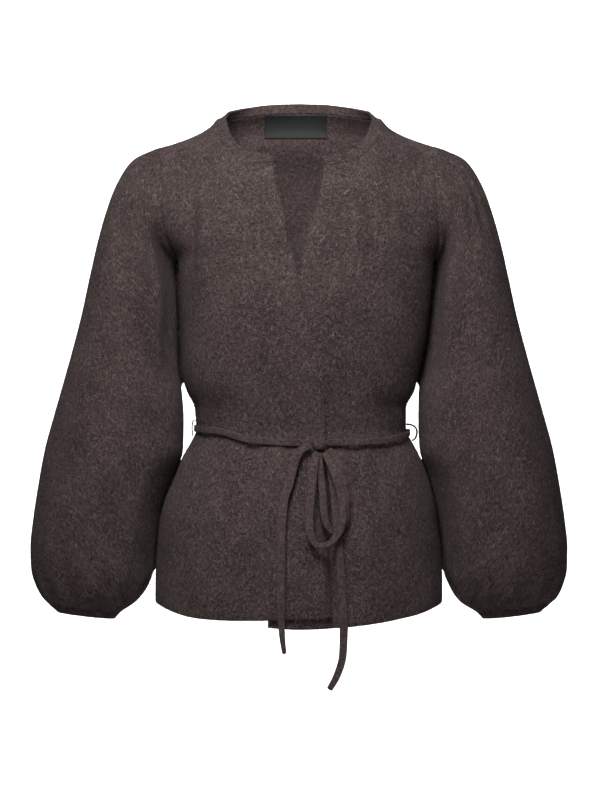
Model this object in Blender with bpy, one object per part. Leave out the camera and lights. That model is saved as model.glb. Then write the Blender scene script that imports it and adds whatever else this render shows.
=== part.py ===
# Wrap cardigan in thick brushed knit with balloon sleeves and a tie belt, filled out as worn.
# Metres, +Z up. The front faces -Y and the wearer's left is +X.
# The origin is the middle of the neck, at the height where the shoulders meet it.

import math
from collections import namedtuple

import bmesh
import bpy
import numpy as np
from mathutils import Vector
from mathutils.bvhtree import BVHTree

# Cloth
WALL = 0.003
SEAM_GAP = 0.0003
LAP_LIFT = 0.0056
LAP_BLEND = 0.030
MITRE_LIMIT = 1.5

# Grid of each cloth piece
ROWS_OF_ARMHOLE = 18
COLUMNS_OF_SHOULDER = 5
COLUMNS_OF_FRONT_NECK = 7
COLUMNS_OF_HALF_BACK_NECK = 6
SIDE_FADE = 2.5
TOP_FADE = 3
RINGS_OF_ARM = 14
RINGS_OF_PUFF = 7

# Colours
BROWN = (0.052, 0.040, 0.039, 1.0)
LABEL_BLACK = (0.010, 0.011, 0.012, 1.0)
WOOL_ROUGHNESS = 0.95
LABEL_ROUGHNESS = 0.7

# Body form: a rounded oval at each height, wider and deeper as the rows say
Section = namedtuple("Section", "z right left front back")
BODY = (
    Section(-0.660, 0.1894, 0.1888, 0.1400, 0.1400),
    Section(-0.594, 0.1892, 0.1888, 0.1370, 0.1370),
    Section(-0.554, 0.1874, 0.1865, 0.1330, 0.1340),
    Section(-0.514, 0.1835, 0.1815, 0.1280, 0.1300),
    Section(-0.488, 0.1769, 0.1780, 0.1230, 0.1250),
    Section(-0.460, 0.1650, 0.1705, 0.1160, 0.1170),
    Section(-0.430, 0.1531, 0.1591, 0.1060, 0.1050),
    Section(-0.409, 0.1412, 0.1478, 0.0990, 0.0940),
    Section(-0.396, 0.1358, 0.1412, 0.0970, 0.0900),
    Section(-0.366, 0.1375, 0.1412, 0.1000, 0.0900),
    Section(-0.345, 0.1478, 0.1518, 0.1040, 0.0920),
    Section(-0.320, 0.1544, 0.1575, 0.1080, 0.0940),
    Section(-0.272, 0.1558, 0.1676, 0.1130, 0.0970),
    Section(-0.227, 0.1571, 0.1729, 0.1150, 0.1000),
    Section(-0.172, 0.1597, 0.1782, 0.1110, 0.1020),
    Section(-0.150, 0.1760, 0.1880, 0.1080, 0.1020),
    Section(-0.125, 0.1930, 0.1980, 0.1030, 0.1010),
    Section(-0.100, 0.2030, 0.2050, 0.0980, 0.0990),
    Section(-0.053, 0.2110, 0.2110, 0.0830, 0.0870),
    Section(-0.007, 0.2150, 0.2150, 0.0770, 0.0700),
    Section(0.030, 0.2150, 0.2150, 0.0750, 0.0705),
)
ROUNDNESS = 0.87
FRONT_ROLL = 0.160
BACK_ROLL = 0.045

# Ridge of the shoulders and of the standing neck, from the middle outwards
Ridge = namedtuple("Ridge", "x z")
SHOULDER = (
    Ridge(0.0, 0.0480),
    Ridge(0.030, 0.0460),
    Ridge(0.060, 0.0400),
    Ridge(0.085, 0.0310),
    Ridge(0.100, 0.0215),
    Ridge(0.1075, 0.0150),
    Ridge(0.1188, 0.0030),
    Ridge(0.1373, -0.0075),
    Ridge(0.1650, -0.0180),
    Ridge(0.1888, -0.0255),
    Ridge(0.2300, -0.0380),
)
SHOULDER_TIP_X = 0.1888
NECK_POINT_X = 0.1075

# Armhole: place round the body, in degrees, at each turn from the shoulder tip to the underarm
Armhole = namedtuple("Armhole", "turn place")
ARMHOLE = (
    Armhole(0, 59.4),
    Armhole(45, 56.0),
    Armhole(90, 54.5),
    Armhole(130, 60.0),
    Armhole(160, 74.0),
    Armhole(180, 90.0),
)
UNDERARM_Z = -0.172
SIDE_HEM_Z = -0.620
EDGE_TURN_Z = -0.190

# Heights of the rows between hem and underarm, closer together at the waist
ROW_HEIGHTS = (
    SIDE_HEM_Z, -0.590, -0.555, -0.520, -0.488, -0.460, -0.437, -0.418,
    -0.403, -0.389, -0.372, -0.350, -0.320, -0.284, -0.246, -0.208,
)
ROWS_BELOW_ARM = len(ROW_HEIGHTS)

# Neck: seam on the body, then free upper edge, from the front corner to the middle of the back
NeckStation = namedtuple("NeckStation", "seam_x seam_z top_x top_y top_z")
FRONT_NECK = (
    NeckStation(0.0325, -0.0530, 0.0315, -0.0745, -0.0410),
    NeckStation(0.0500, -0.0505, 0.0466, -0.0700, -0.0378),
    NeckStation(0.0700, -0.0455, 0.0629, -0.0625, -0.0331),
    NeckStation(0.0875, -0.0345, 0.0781, -0.0500, -0.0237),
    NeckStation(0.0985, -0.0195, 0.0868, -0.0355, -0.0123),
    NeckStation(0.1060, 0.0010, 0.0935, -0.0170, 0.0050),
    NeckStation(0.1075, 0.0150, 0.0962, 0.0000, 0.0185),
)
BACK_NECK = (
    NeckStation(0.1075, 0.0150, 0.0962, 0.0000, 0.0185),
    NeckStation(0.1045, 0.0160, 0.0943, 0.0150, 0.0258),
    NeckStation(0.0920, 0.0195, 0.0845, 0.0310, 0.0305),
    NeckStation(0.0690, 0.0235, 0.0650, 0.0462, 0.0355),
    NeckStation(0.0360, 0.0275, 0.0345, 0.0555, 0.0397),
    NeckStation(0.0, 0.0285, 0.0, 0.0583, 0.0410),
)
ROWS_OF_BAND = 2

# Free edge of each front, from the hem to the neck. The wearer's right front lies over the left.
EdgePoint = namedtuple("EdgePoint", "z x")
OVER_EDGE = (
    EdgePoint(-0.6324, 0.0431),
    EdgePoint(-0.5200, 0.0375),
    EdgePoint(-0.4034, 0.0333),
    EdgePoint(-0.3778, 0.0330),
    EdgePoint(-0.3200, 0.0250),
    EdgePoint(-0.2600, 0.0125),
    EdgePoint(-0.2013, 0.0),
    EdgePoint(-0.1501, -0.0145),
    EdgePoint(-0.1114, -0.0207),
    EdgePoint(-0.0728, -0.0315),
    EdgePoint(-0.0530, -0.0325),
)
UNDER_EDGE = (
    EdgePoint(-0.6440, -0.0399),
    EdgePoint(-0.5000, -0.0330),
    EdgePoint(-0.3778, -0.0225),
    EdgePoint(-0.2800, -0.0120),
    EdgePoint(-0.2013, 0.0),
    EdgePoint(-0.1437, 0.0128),
    EdgePoint(-0.1076, 0.0228),
    EdgePoint(-0.0728, 0.0303),
    EdgePoint(-0.0530, 0.0325),
)

# Hems, by place round the body in degrees from the middle
HemPoint = namedtuple("HemPoint", "place z")
OVER_HEM = (
    HemPoint(-90, -0.6200),
    HemPoint(-73, -0.6234),
    HemPoint(-41, -0.6354),
    HemPoint(-22, -0.6372),
    HemPoint(0, -0.6345),
    HemPoint(12, -0.6324),
)
UNDER_HEM = (
    HemPoint(-12, -0.6445),
    HemPoint(0, -0.6475),
    HemPoint(14, -0.6455),
    HemPoint(26, -0.6416),
    HemPoint(48, -0.6340),
    HemPoint(70, -0.6246),
    HemPoint(90, -0.6200),
)
BACK_HEM = (
    HemPoint(-90, -0.6200),
    HemPoint(-45, -0.6310),
    HemPoint(0, -0.6350),
    HemPoint(45, -0.6310),
    HemPoint(90, -0.6200),
)

# Folds on the body: middle, ends, lean and half width of each, and how far it stands out or in
Fold = namedtuple("Fold", "x top bottom lean width height")
FRONT_FOLDS = (
    Fold(-0.136, -0.060, -0.200, -0.05, 0.011, -0.0030),
    Fold(-0.112, -0.080, -0.260, 0.10, 0.014, 0.0020),
    Fold(-0.104, -0.300, -0.480, 0.20, 0.009, -0.0022),
    Fold(-0.086, -0.330, -0.520, 0.10, 0.009, 0.0022),
    Fold(-0.058, -0.340, -0.500, 0.05, 0.008, -0.0018),
    Fold(-0.024, -0.350, -0.470, -0.05, 0.007, 0.0015),
    Fold(-0.116, -0.430, -0.820, 0.05, 0.022, 0.0035),
    Fold(-0.062, -0.440, -0.820, 0.04, 0.020, -0.0030),
    Fold(-0.010, -0.440, -0.820, 0.00, 0.018, 0.0025),
    Fold(0.093, -0.060, -0.190, -0.10, 0.009, -0.0036),
    Fold(0.074, -0.070, -0.220, -0.12, 0.011, 0.0026),
    Fold(0.140, -0.080, -0.230, 0.06, 0.011, -0.0026),
    Fold(0.062, -0.320, -0.460, -0.16, 0.008, -0.0022),
    Fold(0.084, -0.330, -0.500, -0.08, 0.009, 0.0022),
    Fold(0.112, -0.320, -0.480, -0.16, 0.009, -0.0020),
    Fold(0.056, -0.430, -0.820, -0.05, 0.015, -0.0036),
    Fold(0.092, -0.440, -0.820, -0.06, 0.020, 0.0034),
    Fold(0.135, -0.430, -0.820, -0.06, 0.016, -0.0026),
)
BACK_FOLDS = (
    Fold(-0.128, -0.070, -0.230, -0.06, 0.013, -0.0030),
    Fold(0.124, -0.080, -0.250, 0.07, 0.014, -0.0028),
    Fold(-0.085, -0.310, -0.480, 0.14, 0.010, -0.0024),
    Fold(-0.052, -0.330, -0.520, 0.06, 0.011, 0.0026),
    Fold(-0.014, -0.320, -0.470, 0.03, 0.010, -0.0026),
    Fold(0.026, -0.330, -0.500, -0.04, 0.010, 0.0022),
    Fold(0.068, -0.310, -0.470, -0.10, 0.010, -0.0026),
    Fold(0.104, -0.330, -0.520, -0.12, 0.011, 0.0022),
    Fold(-0.110, -0.430, -0.820, 0.06, 0.020, 0.0036),
    Fold(-0.052, -0.440, -0.820, 0.03, 0.020, -0.0034),
    Fold(0.008, -0.430, -0.820, 0.00, 0.020, 0.0036),
    Fold(0.066, -0.440, -0.820, -0.03, 0.020, -0.0032),
    Fold(0.120, -0.430, -0.820, -0.05, 0.020, 0.0030),
)
FOLD_FADE_SIDE = 0.14
FOLD_FADE_TOP = 0.10

# Sleeve rings, from the armhole to the cuff. Each lies between a point on the outer line and one on
# the inner line, which runs closer to the body on the wearer's right than on the left.
Ring = namedtuple("Ring", "outer_x outer_z inner_z inner_right inner_left depth back_shift")
SLEEVE = (
    Ring(0.1888, -0.0255, -0.1720, 0.1597, 0.1782, 0.0560, 0.000),
    Ring(0.2178, -0.0392, -0.1755, 0.1642, 0.1826, 0.0610, 0.000),
    Ring(0.2402, -0.0709, -0.1850, 0.1650, 0.1826, 0.0640, 0.000),
    Ring(0.2540, -0.1060, -0.1970, 0.1640, 0.1812, 0.0650, 0.001),
    Ring(0.2655, -0.1460, -0.2130, 0.1625, 0.1795, 0.0650, 0.002),
    Ring(0.2772, -0.1976, -0.2400, 0.1612, 0.1765, 0.0640, 0.002),
    Ring(0.2880, -0.2470, -0.2740, 0.1604, 0.1720, 0.0640, 0.003),
    Ring(0.3000, -0.2930, -0.3120, 0.1592, 0.1650, 0.0650, 0.003),
    Ring(0.3120, -0.3360, -0.3480, 0.1545, 0.1580, 0.0680, 0.003),
    Ring(0.3240, -0.3780, -0.3830, 0.1522, 0.1575, 0.0720, 0.003),
    Ring(0.3353, -0.4194, -0.4210, 0.1530, 0.1592, 0.0760, 0.003),
    Ring(0.3440, -0.4650, -0.4620, 0.1690, 0.1740, 0.0790, 0.004),
    Ring(0.3510, -0.5100, -0.5040, 0.1838, 0.1832, 0.0800, 0.005),
    Ring(0.3550, -0.5500, -0.5450, 0.1898, 0.1890, 0.0790, 0.005),
    Ring(0.3538, -0.5778, -0.5800, 0.1925, 0.1915, 0.0750, 0.005),
    Ring(0.3472, -0.5989, -0.6020, 0.2010, 0.2010, 0.0670, 0.004),
    Ring(0.3385, -0.6135, -0.6200, 0.2150, 0.2140, 0.0550, 0.002),
    Ring(0.3295, -0.6244, -0.6362, 0.2367, 0.2360, 0.0300, 0.000),
)
ARMHOLE_BLEND_RINGS = 5
SLEEVE_ROUNDNESS = 0.95
CUFF_BOTTOM = Ring(0.3188, -0.6357, -0.6446, 0.2429, 0.2425, 0.0270, 0.000)

# Folds on the sleeves: middle turn in degrees (0 outer, 90 front, 180 inner, 270 back), first and
# last ring, turn in each ring, half width in degrees, and how far it stands out or in
SleeveFold = namedtuple("SleeveFold", "turn first last twist width height")
RIGHT_SLEEVE_FOLDS = (
    SleeveFold(34, 0.3, 4.2, 2, 9, -0.0026),
    SleeveFold(60, 0.3, 5.0, 3, 9, -0.0032),
    SleeveFold(84, 0.4, 4.0, 2, 8, -0.0022),
    SleeveFold(118, 0.8, 7.5, -4, 11, -0.0034),
    SleeveFold(146, 2.0, 10.0, -3, 11, -0.0034),
    SleeveFold(74, 5.0, 14.5, 1, 20, 0.0034),
    SleeveFold(112, 7.5, 15.0, 1, 16, -0.0036),
    SleeveFold(30, 8.0, 15.5, 0, 16, -0.0026),
    SleeveFold(322, 0.3, 4.0, -2, 9, -0.0026),
    SleeveFold(294, 0.4, 5.0, -3, 9, -0.0030),
    SleeveFold(238, 0.8, 7.0, 4, 11, -0.0034),
    SleeveFold(214, 2.5, 9.0, 3, 11, -0.0030),
    SleeveFold(282, 5.5, 14.0, -1, 20, 0.0034),
    SleeveFold(250, 8.0, 15.0, 0, 15, -0.0034),
    SleeveFold(325, 9.0, 15.5, 0, 16, -0.0030),
)
LEFT_SLEEVE_FOLDS = (
    SleeveFold(28, 0.3, 4.4, 2, 9, -0.0028),
    SleeveFold(52, 0.3, 4.8, 3, 9, -0.0034),
    SleeveFold(80, 0.4, 4.4, 2, 9, -0.0024),
    SleeveFold(122, 0.8, 7.0, -4, 11, -0.0032),
    SleeveFold(150, 2.4, 9.0, -3, 11, -0.0034),
    SleeveFold(66, 5.5, 14.5, 1, 20, 0.0036),
    SleeveFold(104, 8.0, 15.0, 1, 16, -0.0034),
    SleeveFold(24, 7.5, 15.5, 0, 16, -0.0028),
    SleeveFold(328, 0.3, 4.4, -2, 9, -0.0026),
    SleeveFold(300, 0.4, 4.6, -3, 9, -0.0030),
    SleeveFold(242, 0.8, 6.6, 4, 11, -0.0032),
    SleeveFold(210, 2.5, 9.4, 3, 11, -0.0032),
    SleeveFold(276, 6.0, 14.2, -1, 20, 0.0034),
    SleeveFold(244, 8.6, 15.0, 0, 15, -0.0032),
    SleeveFold(318, 9.0, 15.5, 0, 16, -0.0028),
)
GATHERS = 12
GATHER_HEIGHT = 0.0024
GATHER_START_RING = 13.4
GATHER_UNEVEN = 0.35
GATHER_AT_CUFF = 0.35

# Tie belt: a flat knitted strip
BELT_WIDTH = 0.011
BELT_THICKNESS = 0.004
BELT_CLEARANCE = 0.0008
BELT_SEGMENTS = 56
# Height of the belt by the turn round the waist in degrees, from the middle of the front
BeltPoint = namedtuple("BeltPoint", "turn z")
BELT = (
    BeltPoint(-90, -0.3930),
    BeltPoint(-57, -0.3956),
    BeltPoint(-29, -0.4080),
    BeltPoint(0, -0.4110),
    BeltPoint(28, -0.4105),
    BeltPoint(50, -0.4090),
    BeltPoint(90, -0.3985),
    BeltPoint(180, -0.3990),
    BeltPoint(270, -0.3930),
)
BELT_START_TURN = 18.0
BELT_END_TURN = 368.95
SEAM_MISS = 0.4

# Knot, where the belt crosses the free edge
KNOT_X = 0.0262
KNOT_Z = -0.4125
KNOT_HALF = (0.0088, 0.0068, 0.0085)
KNOT_SINK = 0.0008
KNOT_TURNS = 14
KNOT_RINGS = 8
KNOT_SQUARENESS = 0.72

# Ties below the knot. Off is the distance from the panel behind to the middle of the strip.
TiePoint = namedtuple("TiePoint", "x z off width")
LEFT_TAIL = (
    TiePoint(0.0174, -0.4145, 0.0076, 0.0085),
    TiePoint(0.0060, -0.4172, 0.0084, 0.0100),
    TiePoint(-0.0026, -0.4270, 0.0064, 0.0110),
    TiePoint(-0.0080, -0.4450, 0.0040, 0.0110),
    TiePoint(-0.0128, -0.4650, 0.0034, 0.0110),
    TiePoint(-0.0179, -0.4780, 0.0034, 0.0110),
    TiePoint(-0.0217, -0.5131, 0.0034, 0.0110),
    TiePoint(-0.0230, -0.5650, 0.0034, 0.0110),
    TiePoint(-0.0229, -0.6154, 0.0036, 0.0108),
    TiePoint(-0.0222, -0.6420, 0.0046, 0.0085),
    TiePoint(-0.0205, -0.6620, 0.0050, 0.0070),
    TiePoint(-0.0180, -0.6790, 0.0050, 0.0055),
)
RIGHT_TAIL = (
    TiePoint(0.0320, -0.4208, 0.0038, 0.0080),
    TiePoint(0.0400, -0.4400, 0.0032, 0.0105),
    TiePoint(0.0452, -0.4750, 0.0032, 0.0110),
    TiePoint(0.0492, -0.5270, 0.0032, 0.0110),
    TiePoint(0.0522, -0.5640, 0.0032, 0.0110),
    TiePoint(0.0548, -0.6020, 0.0034, 0.0110),
    TiePoint(0.0570, -0.6410, 0.0040, 0.0108),
    TiePoint(0.0558, -0.6790, 0.0044, 0.0100),
    TiePoint(0.0494, -0.7030, 0.0044, 0.0095),
    TiePoint(0.0370, -0.7250, 0.0044, 0.0075),
)
BACK_LOOP = (
    TiePoint(0.0256, -0.4212, 0.0040, 0.0070),
    TiePoint(0.0272, -0.4440, 0.0076, 0.0090),
    TiePoint(0.0308, -0.4700, 0.0086, 0.0100),
    TiePoint(0.0322, -0.4930, 0.0092, 0.0100),
    TiePoint(0.0365, -0.5150, 0.0092, 0.0090),
    TiePoint(0.0470, -0.5250, 0.0092, 0.0080),
    TiePoint(0.0590, -0.5190, 0.0092, 0.0080),
    TiePoint(0.0650, -0.5040, 0.0092, 0.0090),
    TiePoint(0.0642, -0.4820, 0.0092, 0.0100),
    TiePoint(0.0600, -0.4590, 0.0094, 0.0100),
    TiePoint(0.0516, -0.4350, 0.0096, 0.0100),
    TiePoint(0.0364, -0.4168, 0.0072, 0.0080),
)
FRONT_LOOP = (
    TiePoint(0.0226, -0.4196, 0.0080, 0.0080),
    TiePoint(0.0190, -0.4400, 0.0140, 0.0105),
    TiePoint(0.0160, -0.4700, 0.0134, 0.0110),
    TiePoint(0.0130, -0.4980, 0.0134, 0.0110),
    TiePoint(0.0132, -0.5190, 0.0136, 0.0105),
    TiePoint(0.0182, -0.5350, 0.0140, 0.0090),
    TiePoint(0.0268, -0.5410, 0.0144, 0.0080),
    TiePoint(0.0390, -0.5375, 0.0148, 0.0080),
    TiePoint(0.0495, -0.5260, 0.0150, 0.0095),
    TiePoint(0.0556, -0.5050, 0.0150, 0.0110),
    TiePoint(0.0548, -0.4820, 0.0150, 0.0110),
    TiePoint(0.0490, -0.4600, 0.0150, 0.0110),
    TiePoint(0.0412, -0.4390, 0.0150, 0.0105),
    TiePoint(0.0308, -0.4202, 0.0090, 0.0075),
)
TIE_THICKNESS = 0.0036
TIE_SEGMENTS = 26
HANG_FROM_Z = -0.612
TIE_END_SCALE = 0.55
TIE_LEAN_STEP = 0.008

# Belt loops on the side seams
LOOP_WIDTH = 0.005
LOOP_THICKNESS = 0.0026
LOOP_HALF_HEIGHT = 0.0105
LOOP_LEAST_STAND = 0.0044
LOOP_SEGMENTS = 12
LOOP_SQUARENESS = 0.6

# Label inside the back of the neck
LABEL_MIDDLE_X = -0.005
LABEL_HALF_WIDTH = 0.042
LABEL_TOP = 0.0288
LABEL_BOTTOM = -0.0046
LABEL_THICKNESS = 0.0009
LABEL_CLEARANCE = 0.0009
LABEL_COLUMNS = 12
LABEL_ROWS = 4


def clear_scene():
    for old in list(bpy.data.objects):
        bpy.data.objects.remove(old, do_unlink=True)


def column(table, name):
    return np.array([getattr(row, name) for row in table], dtype=float)


# Cubic through the knots whose slopes never overshoot, held level beyond the ends
def smooth_curve(knots, values, where):
    step = np.diff(knots)
    slope = np.diff(values) / step
    tangent = np.zeros(len(values))
    tangent[0] = slope[0]
    tangent[-1] = slope[-1]
    for i in range(1, len(values) - 1):
        if slope[i - 1] * slope[i] > 0:
            tangent[i] = 2 * slope[i - 1] * slope[i] / (slope[i - 1] + slope[i])
    place = np.clip(where, knots[0], knots[-1])
    i = np.clip(np.searchsorted(knots, place) - 1, 0, len(step) - 1)
    t = (place - knots[i]) / step[i]
    return (
        values[i] * (1 + 2 * t) * (1 - t) ** 2
        + values[i + 1] * t * t * (3 - 2 * t)
        + tangent[i] * step[i] * t * (1 - t) ** 2
        - tangent[i + 1] * step[i] * t * t * (1 - t)
    )


def read(table, key, name, where):
    return smooth_curve(column(table, key), column(table, name), np.asarray(where, dtype=float))


def ease(value):
    t = np.clip(value, 0.0, 1.0)
    return t * t * (3 - 2 * t)


def unit(vectors):
    return vectors / np.linalg.norm(vectors, axis=-1, keepdims=True)


# Body form
def half_width(x_side, z):
    right = read(BODY, "z", "right", z)
    left = read(BODY, "z", "left", z)
    return np.where(np.asarray(x_side) < 0, right, left)


def shoulder_height(x):
    return read(SHOULDER, "x", "z", np.abs(x))


def roll(x, z, length):
    drop = np.clip((shoulder_height(x) - z) / length, 0.0, 1.0)
    return np.sqrt(1 - (1 - drop) ** 2)


def body_point(place, z, behind):
    place = np.asarray(place, dtype=float)
    z = np.asarray(z, dtype=float)
    x = np.sign(place) * half_width(place, z) * np.abs(np.sin(place)) ** ROUNDNESS
    depth = read(BODY, "z", "back" if behind else "front", z) * np.abs(np.cos(place)) ** ROUNDNESS
    depth = depth * roll(x, z, BACK_ROLL if behind else FRONT_ROLL)
    return np.stack(np.broadcast_arrays(x, depth if behind else -depth, z), axis=-1)


def place_of(x, z):
    share = np.clip(np.abs(x) / half_width(x, z), 0.0, 1.0)
    return np.sign(x) * np.arcsin(share ** (1 / ROUNDNESS))


def fold_height(folds, x, z):
    total = np.zeros(np.shape(x))
    for fold in folds:
        middle = (fold.top + fold.bottom) / 2
        centre = fold.x + fold.lean * (z - middle)
        along = np.clip((z - fold.bottom) / (fold.top - fold.bottom), 0.0, 1.0)
        swell = np.sin(math.pi * along) ** 2
        total = total + fold.height * swell * np.exp(-(((x - centre) / fold.width) ** 2))
    return total


# The over front stands off the under front from just before the under front's hidden edge
def lap_lift(x, z):
    behind_edge = read(UNDER_EDGE, "z", "x", z)
    return LAP_LIFT * ease((x - behind_edge + LAP_BLEND) / (LAP_BLEND - 0.002))


# Normals of a grid, from its own rows and columns
def grid_normals(points, closed):
    if closed:
        across = np.roll(points, -1, axis=1) - np.roll(points, 1, axis=1)
    else:
        across = np.gradient(points, axis=1)
    along = np.gradient(points, axis=0)
    return unit(np.cross(across, along))


# Patch between four edges, in the plane of place and height. The side's rows and the top's curve
# are felt less the further away they are.
def patch(side, inner, bottom, top, side_fade):
    rows, columns = len(side), len(bottom)
    from_side = (1 - np.linspace(0, 1, columns)[None, :, None]) ** side_fade
    from_top = np.linspace(0, 1, rows)[:, None, None] ** TOP_FADE

    def between(first, second):
        return from_side * first + (1 - from_side) * second

    lower = bottom[None] - between(side[0], inner[0])
    upper = top[None] - between(side[-1], inner[-1])
    return between(side[:, None], inner[:, None]) + (1 - from_top) * lower + from_top * upper


def armhole_turns():
    return np.linspace(180.0, 0.0, ROWS_OF_ARMHOLE + 1)


# Rounded at the shoulder tip and pointed at the underarm
def share_down(turn):
    return 1 - np.cos(np.radians(turn) / 2)


# Side seam and then armhole, as place and height; side is -1 or 1
def side_line(side):
    seam = np.stack([np.full(ROWS_BELOW_ARM, math.pi / 2), np.array(ROW_HEIGHTS)], axis=-1)
    turn = armhole_turns()
    tip_z = float(shoulder_height(SHOULDER_TIP_X))
    z = tip_z + (UNDERARM_Z - tip_z) * share_down(turn)
    place = np.radians(read(ARMHOLE, "turn", "place", turn))
    tip_place = float(np.abs(place_of(side * SHOULDER_TIP_X, tip_z)))
    place[-1] = tip_place
    line = np.concatenate([seam, np.stack([place, z], axis=-1)])
    line[:, 0] *= side
    return line


# Free edge, with as many rows below and above the underarm as the side has
def free_edge(table):
    hem_z = table[0].z
    share = (np.array(ROW_HEIGHTS) - SIDE_HEM_Z) / (UNDERARM_Z - SIDE_HEM_Z)
    low = hem_z + (EDGE_TURN_Z - hem_z) * share
    high = np.linspace(EDGE_TURN_Z, table[-1].z, ROWS_OF_ARMHOLE + 1)
    z = np.concatenate([low, high])
    x = read(table, "z", "x", z)
    return np.stack([place_of(x, z), z], axis=-1)


def shoulder_line(side):
    x = np.linspace(SHOULDER_TIP_X, NECK_POINT_X, COLUMNS_OF_SHOULDER + 1)
    z = shoulder_height(x)
    return np.stack([place_of(side * x, z), z], axis=-1)


def neck_line(stations, count, side):
    at = np.linspace(0, len(stations) - 1, count + 1)
    index = np.arange(len(stations), dtype=float)
    x = side * smooth_curve(index, column(stations, "seam_x"), at)
    z = smooth_curve(index, column(stations, "seam_z"), at)
    return np.stack([place_of(x, z), z], axis=-1)


def hem_line(table, first, last, count):
    place = np.linspace(first, last, count + 1)
    return np.stack([place, read(table, "place", "z", np.degrees(place))], axis=-1)


# Points of one front. Columns run from the side seam to the free edge.
def front_points(side, edge_table, hem_table, over):
    seam = side_line(side)
    edge = free_edge(edge_table)
    neck = neck_line(FRONT_NECK[::-1], COLUMNS_OF_FRONT_NECK, side)
    top = np.concatenate([shoulder_line(side), neck[1:]])
    columns = COLUMNS_OF_SHOULDER + COLUMNS_OF_FRONT_NECK
    hem = hem_line(hem_table, seam[0, 0], edge[0, 0], columns)
    edge[-1] = top[-1]
    hem[0] = seam[0]
    edge[0] = hem[-1]
    sheet = patch(seam, edge, hem, top, SIDE_FADE)
    points = body_point(sheet[..., 0], sheet[..., 1], behind=False)
    u = np.linspace(0, 1, columns + 1)[None, :]
    v = np.linspace(0, 1, len(seam))[:, None]
    fade = ease(u / FOLD_FADE_SIDE) * ease((1 - v) / FOLD_FADE_TOP)
    out = fold_height(FRONT_FOLDS, points[..., 0], points[..., 2]) * fade
    if over:
        out = out + lap_lift(points[..., 0], points[..., 2]) * ease((1 - v) / FOLD_FADE_TOP)
    outward = outward_normals(points, closed=False, axis_y=0.0)
    return points + outward * out[..., None]


def back_points():
    right = side_line(-1)
    left = side_line(1)
    half = neck_line(BACK_NECK, COLUMNS_OF_HALF_BACK_NECK, 1)
    neck_right = half * np.array([-1.0, 1.0])
    top = np.concatenate([
        shoulder_line(-1),
        neck_right[1:],
        half[::-1][1:],
        shoulder_line(1)[::-1][1:],
    ])
    hem = hem_line(BACK_HEM, right[0, 0], left[0, 0], len(top) - 1)
    sheet = patch(right, left, hem, top, 1)
    points = body_point(sheet[..., 0], sheet[..., 1], behind=True)
    u = np.linspace(0, 1, len(top))[None, :]
    v = np.linspace(0, 1, len(right))[:, None]
    fade = ease(u / FOLD_FADE_SIDE) * ease((1 - u) / FOLD_FADE_SIDE) * ease((1 - v) / FOLD_FADE_TOP)
    out = fold_height(BACK_FOLDS, points[..., 0], points[..., 2]) * fade
    outward = outward_normals(points, closed=False, axis_y=0.0)
    return points + outward * out[..., None]


# Normals turned so that they point away from the middle of the body or sleeve
def outward_normals(points, closed, axis_y, centres=None):
    normals = grid_normals(points, closed)
    if centres is None:
        away = points * np.array([1.0, 1.0, 0.0]) - np.array([0.0, axis_y, 0.0])
    else:
        away = points - centres
    if np.sum(normals * away) < 0:
        normals = -normals
    return normals


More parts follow.
